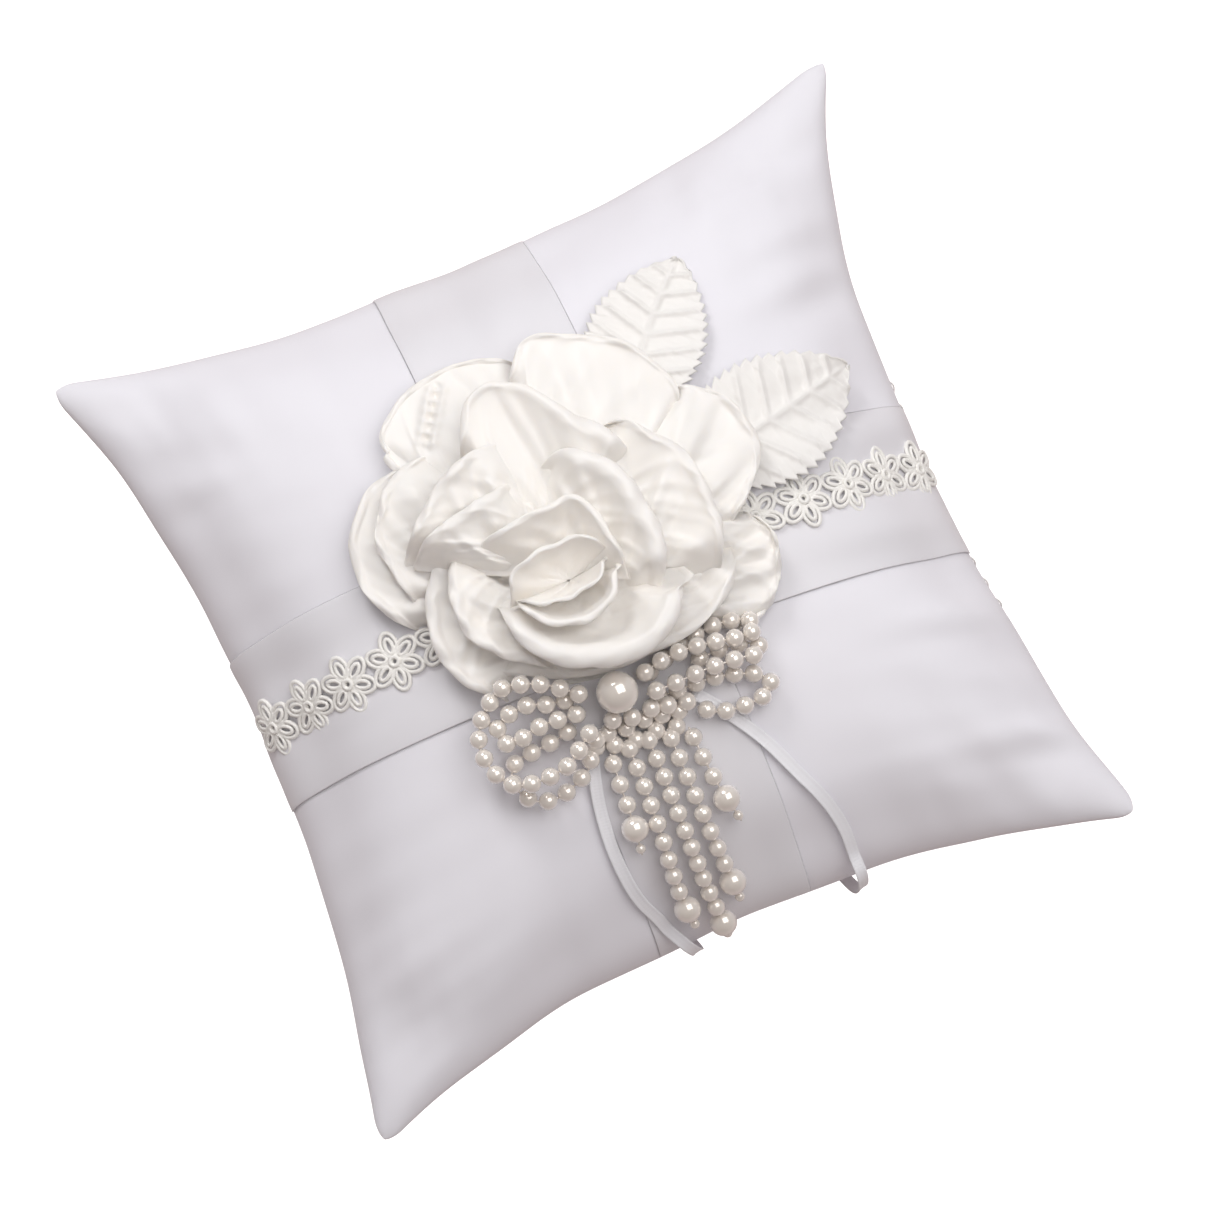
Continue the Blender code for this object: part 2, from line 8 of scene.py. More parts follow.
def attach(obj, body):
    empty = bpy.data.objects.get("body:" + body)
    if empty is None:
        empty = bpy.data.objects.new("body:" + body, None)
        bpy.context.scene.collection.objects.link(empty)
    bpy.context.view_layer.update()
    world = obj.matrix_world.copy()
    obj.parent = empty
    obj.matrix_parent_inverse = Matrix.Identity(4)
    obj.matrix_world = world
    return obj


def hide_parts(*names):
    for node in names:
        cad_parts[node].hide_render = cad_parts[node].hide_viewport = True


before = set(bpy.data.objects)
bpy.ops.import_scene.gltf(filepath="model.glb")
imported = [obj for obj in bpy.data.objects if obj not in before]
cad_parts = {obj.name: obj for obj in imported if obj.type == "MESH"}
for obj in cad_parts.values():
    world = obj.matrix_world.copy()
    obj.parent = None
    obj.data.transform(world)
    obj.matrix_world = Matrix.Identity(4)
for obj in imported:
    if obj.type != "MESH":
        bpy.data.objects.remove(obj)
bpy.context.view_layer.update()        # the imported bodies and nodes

scene = bpy.context.scene
mm = 0.001
print("frame loaded:", len(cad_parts), "nodes")


# ---- camera and studio

camera = dict(
    turn=-23.45, height=78, distance=1.25, target=(0, 0, 0.028), lens=150.4, sensor=36, farthest=20,
    shiftX=0.01225, shiftY=-0.01116,
)
studio = dict(
    backLight=(0.88, 0.89, 0.93), frontLight=(0.61, 0.545, 0.52), worldStrength=0.5, floorSize=6,
    floorColour=(0.62, 0.53, 0.51), floorRoughness=0.7, floorGlow=1.2, floorDrop=0.4 * mm,
)
# each softbox: up and right as the camera sees it, height, size in metres, and power
softboxes = {
    "keySoftbox": dict(up=0.5, right=-0.32, high=0.62, size=0.26, power=2.1, colour=(1.0, 0.99, 0.98)),
    "topSoftbox": dict(up=0.14, right=0.3, high=1.0, size=0.85, power=5.5, colour=(1.0, 0.985, 0.975)),
}


def viewFrame():
    turn, height = math.radians(camera["turn"]), math.radians(camera["height"])
    right = Vector((math.cos(turn), math.sin(turn), 0))
    ahead = Vector((-math.sin(turn), math.cos(turn), 0))
    look = ahead * math.cos(height) - Vector((0, 0, 1)) * math.sin(height)
    return right, ahead, look


def placed(place, look, right):
    back = -look.normalized()
    up = back.cross(right).normalized()
    turned = Matrix((right, up, back)).transposed().to_4x4()
    return Matrix.Translation(place) @ turned


def makeCamera():
    right, _, look = viewFrame()
    lens = bpy.data.cameras.new("camera")
    lens.lens = camera["lens"]
    lens.sensor_width = camera["sensor"]
    lens.shift_x = camera["shiftX"]
    lens.shift_y = camera["shiftY"]
    lens.clip_end = camera["farthest"]
    cam = bpy.data.objects.new("camera", lens)
    scene.collection.objects.link(cam)
    cam.matrix_world = placed(Vector(camera["target"]) - look * camera["distance"], look, right)
    scene.camera = cam


def areaLight(name, place, target, size, power, colour):
    lamp = bpy.data.lights.new(name, "AREA")
    lamp.size = size
    lamp.energy = power
    lamp.color = colour
    obj = bpy.data.objects.new(name, lamp)
    scene.collection.objects.link(obj)
    look = (target - place).normalized()
    side = look.cross(Vector((0, 0, 1))).normalized()
    obj.matrix_world = placed(place, look, side)


def makeStudio():
    right, ahead, _ = viewFrame()
    middle = Vector(camera["target"])
    for name, box in softboxes.items():
        place = middle + ahead * box["up"] + right * box["right"] + Vector((0, 0, box["high"]))
        areaLight(name, place, middle, box["size"], box["power"], box["colour"])
    world = bpy.data.worlds.new("studio")
    world.use_nodes = True
    background = world.node_tree.nodes["Background"]
    link = world.node_tree.links.new
    place = node(world.node_tree, "ShaderNodeTexCoord")
    towards = node(world.node_tree, "ShaderNodeVectorMath", operation="DOT_PRODUCT")
    towards.inputs[1].default_value = ahead
    link(place.outputs["Generated"], towards.inputs[0])
    share = node(world.node_tree, "ShaderNodeMapRange")
    share.inputs["From Min"].default_value = -1
    link(towards.outputs["Value"], share.inputs["Value"])
    colours = ramp(world.node_tree, studio["frontLight"], studio["backLight"])
    link(share.outputs["Result"], colours.inputs["Fac"])
    link(colours.outputs["Color"], background.inputs["Color"])
    background.inputs["Strength"].default_value = studio["worldStrength"]
    scene.world = world
    scene.view_settings.view_transform = "Standard"
    bm = bmesh.new()
    bmesh.ops.create_grid(bm, x_segments=1, y_segments=1, size=studio["floorSize"] / 2)
    bmesh.ops.translate(bm, verts=bm.verts, vec=(0, 0, -studio["floorDrop"]))
    mesh = bpy.data.meshes.new("floor")
    bm.to_mesh(mesh)
    bm.free()
    floor = bpy.data.objects.new("floor", mesh)
    scene.collection.objects.link(floor)
    paper = plainMaterial("palePaper", studio["floorColour"], studio["floorRoughness"])
    shader = paper.node_tree.nodes["Principled BSDF"]
    shader.inputs["Emission Color"].default_value = (1, 1, 1, 1)
    seen = node(paper.node_tree, "ShaderNodeLightPath")
    glow = maths(paper.node_tree, "MULTIPLY", seen.outputs["Is Camera Ray"], studio["floorGlow"])
    paper.node_tree.links.new(glow, shader.inputs["Emission Strength"])
    mesh.materials.append(paper)
    print("camera and studio ready")


# ---- materials


def setInputs(target, **values):
    for label, value in values.items():
        target.inputs[label.replace("_", " ")].default_value = value


def plainMaterial(name, colour, roughness):
    made = bpy.data.materials.new(name)
    made.use_nodes = True
    shader = made.node_tree.nodes["Principled BSDF"]
    setInputs(shader, Base_Color=(*colour, 1), Roughness=roughness)
    return made


def newGroup(name, inputs, outputs):
    group = bpy.data.node_groups.new(name, "ShaderNodeTree")
    for label, kind, value in inputs:
        socket = group.interface.new_socket(label, in_out="INPUT", socket_type=kind)
        if value is not None:
            socket.default_value = value
    for label in outputs:
        group.interface.new_socket(label, in_out="OUTPUT", socket_type="NodeSocketFloat")
    return group, group.nodes.new("NodeGroupInput"), group.nodes.new("NodeGroupOutput")


def node(tree, kind, **values):
    made = tree.nodes.new(kind)
    for label, value in values.items():
        setattr(made, label, value)
    return made


def maths(tree, operation, first, second=None):
    made = node(tree, "ShaderNodeMath", operation=operation)
    for k, value in enumerate((first, second)):
        if value is None:
            continue
        if isinstance(value, (int, float)):
            made.inputs[k].default_value = value
        else:
            tree.links.new(value, made.inputs[k])
    return made.outputs[0]


def ramp(tree, low, high, ends=(0.0, 1.0)):
    made = node(tree, "ShaderNodeValToRGB")
    for stop, place, colour in zip(made.color_ramp.elements, ends, (low, high)):
        stop.position = place
        stop.color = (*colour, 1)
    return made


def makeClothGroup():
    # fine satin floats, slight slubs and a slow change of tone
    group, given, out = newGroup(
        "satinWeave",
        [("Vector", "NodeSocketVector", None), ("Threads", "NodeSocketFloat", 2600.0),
         ("Slub", "NodeSocketFloat", 60.0), ("Tone", "NodeSocketFloat", 18.0)],
        ["Height", "Shade"],
    )
    link = group.links.new
    floats = node(group, "ShaderNodeTexWave", wave_type="BANDS", bands_direction="X")
    setInputs(floats, Distortion=1.5, Detail=1)
    link(given.outputs["Vector"], floats.inputs["Vector"])
    link(given.outputs["Threads"], floats.inputs["Scale"])
    slub = node(group, "ShaderNodeTexNoise")
    slub.inputs["Detail"].default_value = 3
    link(given.outputs["Vector"], slub.inputs["Vector"])
    link(given.outputs["Slub"], slub.inputs["Scale"])
    tone = node(group, "ShaderNodeTexNoise")
    tone.inputs["Detail"].default_value = 2
    link(given.outputs["Vector"], tone.inputs["Vector"])
    link(given.outputs["Tone"], tone.inputs["Scale"])
    height = maths(group, "ADD", maths(group, "MULTIPLY", floats.outputs["Fac"], 0.25), slub.outputs["Fac"])
    link(height, out.inputs["Height"])
    mixed = maths(group, "MULTIPLY", slub.outputs["Fac"], 0.3)
    shade = maths(group, "ADD", maths(group, "MULTIPLY", tone.outputs["Fac"], 0.7), mixed)
    link(shade, out.inputs["Shade"])
    return group


def makeThreadGroup():
    # plies of a twisted thread
    group, given, out = newGroup(
        "threadTwist",
        [("Vector", "NodeSocketVector", None), ("Plies", "NodeSocketFloat", 900.0)],
        ["Height", "Shade"],
    )
    link = group.links.new
    plies = node(group, "ShaderNodeTexWave", wave_type="BANDS", bands_direction="DIAGONAL")
    plies.inputs["Distortion"].default_value = 2
    link(given.outputs["Vector"], plies.inputs["Vector"])
    link(given.outputs["Plies"], plies.inputs["Scale"])
    fuzz = node(group, "ShaderNodeTexNoise")
    fuzz.inputs["Scale"].default_value = 1500
    link(given.outputs["Vector"], fuzz.inputs["Vector"])
    link(maths(group, "ADD", plies.outputs["Fac"], fuzz.outputs["Fac"]), out.inputs["Height"])
    link(fuzz.outputs["Fac"], out.inputs["Shade"])
    return group


def surfaceMaterial(name, group, finish, useUv=True, settings=None, **inputs):
    look = finishes[finish]
    made = plainMaterial(name, look["light"], look["roughness"])
    tree = made.node_tree
    shader = tree.nodes["Principled BSDF"]
    for label, value in (settings or {}).items():
        shader.inputs[label].default_value = value
    place = node(tree, "ShaderNodeTexCoord")
    pattern = node(tree, "ShaderNodeGroup", node_tree=group)
    for label, value in inputs.items():
        pattern.inputs[label].default_value = value
    tree.links.new(place.outputs["UV" if useUv else "Object"], pattern.inputs["Vector"])
    colours = ramp(tree, look["dark"], look["light"], (0.3, 0.7))
    tree.links.new(pattern.outputs["Shade"], colours.inputs["Fac"])
    tree.links.new(colours.outputs["Color"], shader.inputs["Base Color"])
    gloss = node(tree, "ShaderNodeMapRange")
    setInputs(gloss, To_Min=look["roughness"] + glossSpread, To_Max=look["roughness"] - glossSpread)
    tree.links.new(pattern.outputs["Shade"], gloss.inputs["Value"])
    tree.links.new(gloss.outputs["Result"], shader.inputs["Roughness"])
    relief = node(tree, "ShaderNodeBump")
    setInputs(relief, Strength=look["bump"], Distance=look["relief"] * mm)
    tree.links.new(pattern.outputs["Height"], relief.inputs["Height"])
    tree.links.new(relief.outputs["Normal"], shader.inputs["Normal"])
    return made


glossSpread = 0.02
# relief: how far the bumps stand out, in mm
finishes = dict(
    cover=dict(light=(0.855, 0.845, 0.892), dark=(0.845, 0.835, 0.882), roughness=0.58,
               bump=0.25, relief=0.15),
    sash=dict(light=(0.80, 0.79, 0.825), dark=(0.79, 0.78, 0.815), roughness=0.40, bump=0.2, relief=0.12),
    rose=dict(light=(0.98, 0.948, 0.90), dark=(0.97, 0.93, 0.875), roughness=0.35, bump=0.2, relief=0.15),
    leaf=dict(light=(0.90, 0.885, 0.86), dark=(0.885, 0.865, 0.835), roughness=0.6, bump=0.3, relief=0.2),
    ribbon=dict(light=(0.90, 0.90, 0.93), dark=(0.87, 0.87, 0.91), roughness=0.35, bump=0.5, relief=0.2),
    lace=dict(light=(0.94, 0.925, 0.89), dark=(0.90, 0.885, 0.85), roughness=0.75, bump=0.3, relief=0.1),
    thread=dict(light=(0.90, 0.89, 0.87), dark=(0.84, 0.83, 0.80), roughness=0.7, bump=0.6, relief=0.1),
    felt=dict(light=(0.88, 0.87, 0.83), dark=(0.82, 0.81, 0.77), roughness=0.9, bump=0.6, relief=0.3),
    fibre=dict(light=(0.92, 0.92, 0.92), dark=(0.86, 0.86, 0.87), roughness=0.9, bump=0.8, relief=0.6),
)


def makeMaterials():
    weave = makeClothGroup()
    twist = makeThreadGroup()
    satin = {"Sheen Weight": 0.25, "Sheen Roughness": 0.4}
    softSatin = {"Sheen Weight": 0.2, "Sheen Roughness": 0.4, "Subsurface Weight": 0.2,
                 "Subsurface Scale": 3 * mm, "Subsurface Radius": (1.0, 0.8, 0.6)}
    made = dict(
        cover=surfaceMaterial("coverSatin", weave, "cover", settings=satin),
        sash=surfaceMaterial("sashSatin", weave, "sash", settings=satin),
        rose=surfaceMaterial("roseSatin", weave, "rose", settings=softSatin),
        leaf=surfaceMaterial("leafSatin", weave, "leaf", settings=satin, Slub=240.0),
        ribbon=surfaceMaterial("ribbonSatin", weave, "ribbon", settings=satin, Threads=420.0),
        lace=surfaceMaterial("laceThread", twist, "lace", useUv=False),
        thread=surfaceMaterial("sewingThread", twist, "thread", useUv=False),
        felt=surfaceMaterial("feltCloth", twist, "felt", useUv=False, Plies=300.0),
        fibre=surfaceMaterial("fillingFibre", twist, "fibre", useUv=False, Plies=120.0),
        pearl=pearlMaterial(),
    )
    print("materials made:", len(made))
    return made


# rim: the pale colour of the painted reflection towards each bead's outline; edge: the Layer Weight blend that
# places it
pearlFinish = dict(
    body=(0.845, 0.78, 0.71), rim=(0.96, 0.93, 0.90), roughness=0.13, metal=0.3, specular=0.7,
    coat=0.8, coatRoughness=0.08, cloud=0.25, cloudScale=260, edge=0.35,
)


def pearlMaterial():
    # nacre under a clear coat: a deeper body colour with a random mottle, and a painted reflection that pales
    # each bead towards its outline as the camera sees it
    made = plainMaterial("pearlNacre", pearlFinish["body"], pearlFinish["roughness"])
    tree = made.node_tree
    shader = tree.nodes["Principled BSDF"]
    setInputs(shader, Metallic=pearlFinish["metal"], Coat_Weight=pearlFinish["coat"],
              Coat_Roughness=pearlFinish["coatRoughness"], Specular_IOR_Level=pearlFinish["specular"])
    place = node(tree, "ShaderNodeTexCoord")
    cloud = node(tree, "ShaderNodeTexNoise")
    setInputs(cloud, Scale=pearlFinish["cloudScale"], Detail=2)
    tree.links.new(place.outputs["Object"], cloud.inputs["Vector"])
    # the Facing weight paints the paler rim colour where the bead turns away from the camera: a painted
    # reflection
    edge = node(tree, "ShaderNodeLayerWeight")
    edge.inputs["Blend"].default_value = pearlFinish["edge"]
    mottled = maths(tree, "MULTIPLY", cloud.outputs["Fac"], pearlFinish["cloud"])
    paintedRimSheenAndMottle = maths(tree, "ADD", edge.outputs["Facing"], mottled)
    colours = ramp(tree, pearlFinish["body"], pearlFinish["rim"], (0.15, 0.85))
    tree.links.new(paintedRimSheenAndMottle, colours.inputs["Fac"])
    tree.links.new(colours.outputs["Color"], shader.inputs["Base Color"])
    return made


# ---- the padded shape that everything lies on

pillow = dict(
    side=200 * mm, pinch=12 * mm, seamHeight=28 * mm, seamGap=0.2 * mm, frontCrown=38 * mm, backCrown=34 * mm,
    lines=88, seamDip=0.7 * mm, frontPinch=2.0 * mm, rightPinch=1.0 * mm, backEase=1.2 * mm,
    gather=1.5 * mm, gatherReach=0.13, seamWave=1.3 * mm, earLift=2.5 * mm, cornerRound=0.075,
    flattened=1.2 * mm, weldWithin=0.02 * mm, uvHalf=0.11,
    earOut={(False, True): (-4.5, 3.0), (True, True): (9.0, 5.5), (True, False): (0.5, -3.0),
            (False, False): (-2.0, -4.0)},
)
halfSide = pillow["side"] / 2


def seamPlan(p, q):
    x = p * (halfSide - pillow["pinch"] * (1 - q * q))
    y = q * (halfSide - pillow["pinch"] * (1 - p * p))
    return x, y


def clothPlace(x, y):
    p, q = x / halfSide, y / halfSide
    for _ in range(12):
        p = max(-0.999, min(0.999, x / (halfSide - pillow["pinch"] * (1 - q * q))))
        q = max(-0.999, min(0.999, y / (halfSide - pillow["pinch"] * (1 - p * p))))
    return p, q


def crown(p, q):
    return math.sqrt(max(0.0, (1 - p * p) * (1 - q * q)))


def smoothStep(low, high, value):
    t = max(0.0, min(1.0, (value - low) / (high - low)))
    return t * t * (3 - 2 * t)


puckers = dict(
    fadeIn=0.25, waveRate=3.2, waveReach=0.18, rise=1.6 * mm, riseRate=2.6, riseReach=0.1,
    creaseRate=7.5, creaseFan=2.0, fanTurn=4, fineRate=15, fineShare=0.5, rightStrength=1.5, sideways=0.3,
)


def gathers(p, q, side):
    # soft puckers that run in from each seam, and a seam line that is not quite straight
    total = Vector((0, 0, 0))
    for along, depth, outward, tag in (
        (q, 1 - abs(p), Vector((math.copysign(1, p), 0, 0)), 3 if p > 0 else 11),
        (p, 1 - abs(q), Vector((0, math.copysign(1, q), 0)), 23 if q > 0 else 37),
    ):
        fade = smoothStep(0, puckers["fadeIn"], 1 - abs(along))
        wave = noise.noise(Vector((along * puckers["waveRate"], tag, 0)))
        total += outward * wave * pillow["seamWave"] * math.exp(-depth / puckers["waveReach"]) * fade
        swell = noise.noise(Vector((along * puckers["riseRate"], tag, 5)))
        total.z += swell * puckers["rise"] * math.exp(-depth / puckers["riseReach"]) * fade
        share = depth / pillow["gatherReach"]
        fanned = along * puckers["creaseRate"]
        fanned += puckers["creaseFan"] * depth * math.tanh(puckers["fanTurn"] * along)
        crease = noise.noise(Vector((fanned, tag, 9 * side)))
        crease += puckers["fineShare"] * noise.noise(Vector((along * puckers["fineRate"], tag, 3 * side)))
        strong = puckers["rightStrength"] if tag == 3 else 1.0
        lift = pillow["gather"] * strong * crease * share * math.exp(1 - share) * fade
        total += Vector((outward.x * puckers["sideways"], outward.y * puckers["sideways"], side)) * lift
    return total


def blunted(p, q):
    # rounds off the square corner of the cloth
    rounding = pillow["cornerRound"]
    a, b = (abs(p) - 1 + rounding) / rounding, (abs(q) - 1 + rounding) / rounding
    if a <= 0 or b <= 0:
        return p, q
    a, b = a * math.sqrt(1 - b * b / 2), b * math.sqrt(1 - a * a / 2)
    return math.copysign(1 - rounding + rounding * a, p), math.copysign(1 - rounding + rounding * b, q)


def baseShape(p, q, side):
    x, y = seamPlan(*blunted(p, q))
    ear = (abs(p) * abs(q)) ** 5
    earX, earY = pillow["earOut"][(p > 0, q > 0)]
    x += ear * earX * mm
    y += ear * earY * mm
    rise = crown(p, q)
    x -= pillow["rightPinch"] * (1 - q * q) * max(0, p) ** 3
    y += pillow["frontPinch"] * (1 - p * p) * max(0, -q) ** 3
    y += pillow["backEase"] * (1 - p * p) * max(0, q) ** 3
    gap = side * pillow["seamGap"]
    if side > 0:
        z = pillow["seamHeight"] + gap + pillow["frontCrown"] * rise
    else:
        z = pillow["seamHeight"] + gap - pillow["backCrown"] * rise
        z = 0.5 * (z + math.sqrt(z * z + pillow["flattened"] ** 2))    # pressed flat where it rests
    corner = (abs(p) * abs(q)) ** 8
    z += corner * pillow["earLift"] * (1 if p * q < 0 else 0.3)
    return Vector((x, y, z))


simGrid = {}
cloth = dict(
    grid=40, scale=10, pressure=5.0, growth=-0.035, frames=20, most=3.5 * mm, quality=6, mass=0.15,
    stretch=50, shear=25, bend=1.5, damping=25, bendDamping=2, air=6, smoothings=5, heldReach=0.12,
)


def gridBody(count, shape):
    # two square sheets moved on to the panels' shapes, their edges along the seam
    bm = bmesh.new()
    for side in (1, -1):
        made = bmesh.ops.create_grid(bm, x_segments=count, y_segments=count, size=1)["verts"]
        for vert in made:
            vert.co = shape(vert.co.x, vert.co.y, side)
        if side < 0:
            own = set(made)
            bmesh.ops.reverse_faces(bm, faces=[face for face in bm.faces if face.verts[0] in own])
    return bm


def runCloth():
    # lets the filled cover swell a little, with spare cloth that buckles near the seams
    count, scale = cloth["grid"], cloth["scale"]

    def enlarged(p, q, side):
        return baseShape(p, q, side) * scale

    bm = gridBody(count, enlarged)
    order = [vert.co.copy() for vert in bm.verts]
    mesh = bpy.data.meshes.new("clothTrial")
    bm.to_mesh(mesh)
    bm.free()
    trial = bpy.data.objects.new("clothTrial", mesh)
    scene.collection.objects.link(trial)
    size = count + 1
    held = trial.vertex_groups.new(name="seam")
    for k in range(len(order)):
        row, column = divmod(k % (size * size), size)
        if row in (0, count) or column in (0, count):
            held.add([k], 1.0, "REPLACE")
    swell = trial.modifiers.new("swell", "CLOTH")
    wear = swell.settings
    wear.quality = cloth["quality"]
    wear.mass = cloth["mass"]
    wear.tension_stiffness = wear.compression_stiffness = cloth["stretch"]
    wear.shear_stiffness = cloth["shear"]
    wear.bending_stiffness = cloth["bend"]
    wear.tension_damping = wear.compression_damping = wear.shear_damping = cloth["damping"]
    wear.bending_damping = cloth["bendDamping"]
    wear.air_damping = cloth["air"]
    wear.vertex_group_mass = "seam"
    wear.use_pressure = True
    wear.uniform_pressure_force = cloth["pressure"]
    wear.shrink_min = cloth["growth"]
    wear.effector_weights.gravity = 0
    swell.collision_settings.use_collision = False
    swell.point_cache.frame_start = 1
    swell.point_cache.frame_end = cloth["frames"]
    for step in range(1, cloth["frames"] + 1):
        scene.frame_set(step)
    done = trial.evaluated_get(bpy.context.evaluated_depsgraph_get())
    swollen = done.to_mesh()
    moved = [(vert.co - start) / scale for vert, start in zip(swollen.vertices, order)]
    done.to_mesh_clear()
    bpy.data.objects.remove(trial)
    scene.frame_set(1)
    for side, start in ((1, 0), (-1, size * size)):
        rows = [moved[start + r * size:start + (r + 1) * size] for r in range(size)]
        for _ in range(cloth["smoothings"]):
            rows = [[softened(rows, r, c) for c in range(size)] for r in range(size)]
        simGrid[side] = rows
    peak = max(v.length for v in moved)
    print("cloth settled, largest move %.1f mm" % (peak / mm))


def softened(rows, r, c):
    last = len(rows) - 1
    if r in (0, last) or c in (0, last):
        return rows[r][c]
    around = rows[r - 1][c] + rows[r + 1][c] + rows[r][c - 1] + rows[r][c + 1]
    return rows[r][c] * 0.5 + around * 0.125


def clothMove(p, q, side):
    # how far the settled cloth moved here, read between the grid's points and capped
    if side not in simGrid:
        return Vector((0, 0, 0))
    rows = simGrid[side]
    last = len(rows) - 1
    column, row = (p + 1) / 2 * last, (q + 1) / 2 * last
    c, r = min(int(column), last - 1), min(int(row), last - 1)
    columnShares, rowShares = splineShares(column - c), splineShares(row - r)
    move = Vector((0, 0, 0))
    for k, rowShare in enumerate(rowShares):
        line = rows[max(0, min(last, r - 1 + k))]
        for j, columnShare in enumerate(columnShares):
            move += line[max(0, min(last, c - 1 + j))] * (rowShare * columnShare)
    reach = cloth["heldReach"]
    held = smoothStep(0, reach, 1 - abs(p)) * smoothStep(0, reach, 1 - abs(q))
    return move * (held * cloth["most"] / math.hypot(cloth["most"], move.length))


def splineShares(t):
    # a cubic spline's shares of the four nearest values
    return (1 - t) ** 3 / 6, (3 * t**3 - 6 * t**2 + 4) / 6, (3 * t + 3 * t**2 - 3 * t**3 + 1) / 6, t**3 / 6


def coverPoint(p, q, side=1):
    point = baseShape(p, q, side) + clothMove(p, q, side) + gathers(p, q, side)
    point.z = max(point.z, 0.0003)
    return point


def onPillow(x, y, lift):
    p, q = clothPlace(x, y)
    step = 0.004
    lowP, highP, lowQ, highQ = max(-1, p - step), min(1, p + step), max(-1, q - step), min(1, q + step)
    alongP = coverPoint(highP, q) - coverPoint(lowP, q)
    alongQ = coverPoint(p, highQ) - coverPoint(p, lowQ)
    square = alongP.cross(alongQ).normalized()
    return coverPoint(p, q) + square * lift, square


def abovePillow(x, y, lift):
    p, q = clothPlace(x, y)
    return Vector((x, y, coverPoint(p, q).z + lift))


# ---- building helpers


def smoothRoute(points, samples):
    ends = [2 * points[0] - points[1], *points, 2 * points[-1] - points[-2]]
    fine = []
    for before, start, end, after in zip(ends, ends[1:], ends[2:], ends[3:]):
        for step in range(16):
            t = step / 16
            bend = (2 * before - 5 * start + 4 * end - after) * t**2
            twist = (3 * start - before - 3 * end + after) * t**3
            fine.append(0.5 * (2 * start + (end - before) * t + bend + twist))
    fine.append(points[-1])
    lengths = runLengths(fine)
    return [pointAt(fine, lengths, lengths[-1] * k / (samples - 1)) for k in range(samples)]


def runLengths(points):
    lengths = [0.0]
    for first, second in zip(points, points[1:]):
        lengths.append(lengths[-1] + (second - first).length)
    return lengths


def pointAt(points, lengths, distance):
    for k in range(1, len(points)):
        if lengths[k] >= distance - 1e-12:
            share = (distance - lengths[k - 1]) / max(lengths[k] - lengths[k - 1], 1e-12)
            return points[k - 1].lerp(points[k], share)
    return points[-1]


def spread(points, share):
    # a place along evenly spaced points, with share from 0 to 1
    where = max(0.0, min(1.0, share)) * (len(points) - 1)
    k = min(int(where), len(points) - 2)
    return points[k].lerp(points[k + 1], where - k)


def addPiece(name, bm, finish, replaced=(), body="pillow", wall=0, offset=-1, smooth=0):
    mesh = bpy.data.meshes.new(name)
    for face in bm.faces:
        face.smooth = True
    bm.to_mesh(mesh)
    bm.free()
    mesh.materials.append(finish)
    obj = bpy.data.objects.new(name, mesh)
    scene.collection.objects.link(obj)
    if wall:
        shell = obj.modifiers.new("wall", "SOLIDIFY")
        shell.thickness = wall
        shell.offset = offset
    if smooth:
        subsurf = obj.modifiers.new("smooth", "SUBSURF")
        subsurf.levels = subsurf.render_levels = smooth
    if replaced:
        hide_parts(*replaced)
    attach(obj, body)
    return obj


def addGrid(bm, along, across, place, lengthOf, widthOf):
    # a square grid moved on to a surface; its cloth coordinates stay in metres as the UV map
    uv = bm.loops.layers.uv.get("cloth") or bm.loops.layers.uv.new("cloth")
    before = set(bm.faces)
    made = bmesh.ops.create_grid(bm, x_segments=along, y_segments=across, size=1)["verts"]
    faces = [face for face in bm.faces if face not in before]
    for face in faces:
        for loop in face.loops:
            loop[uv].uv = (loop.vert.co.x * lengthOf / 2, loop.vert.co.y * widthOf / 2)
    for vert in made:
        vert.co = place((vert.co.x + 1) / 2, vert.co.y)
    bmesh.ops.recalc_face_normals(bm, faces=faces)
    if sum(face.normal.z * face.calc_area() for face in faces) < 0:
        bmesh.ops.reverse_faces(bm, faces=faces)


def addTube(bm, points, radius, sides=6, closed=False):
    # a round section spun out along the points, one ring at each
    rings = []
    count = len(points)
    square = None
    for k, point in enumerate(points):
        after = points[(k + 1) % count] if closed else points[min(k + 1, count - 1)]
        before = points[k - 1] if closed or k else points[0]
        along = (after - before).normalized()
        if square is None:
            square = along.orthogonal().normalized()
        square = (square - along * square.dot(along)).normalized()
        side = along.cross(square)
        turned = Matrix((square, side, along)).transposed().to_4x4()
        ring = bmesh.ops.create_circle(bm, cap_ends=False, segments=sides, radius=radius,
                                       matrix=Matrix.Translation(point) @ turned)["verts"]
        rings.append(ring)
    pairs = list(zip(rings, rings[1:]))
    if closed:
        pairs.append((rings[-1], rings[0]))
    for first, second in pairs:
        edges = ringEdges(first) + ringEdges(second)
        bmesh.ops.bridge_loops(bm, edges=edges)
    if not closed:
        for ring in (rings[0], rings[-1]):
            bmesh.ops.contextual_create(bm, geom=ringEdges(ring))


def ringEdges(ring):
    members = set(ring)
    return list({edge for vert in ring for edge in vert.link_edges if edge.other_vert(vert) in members})


# ---- pillow


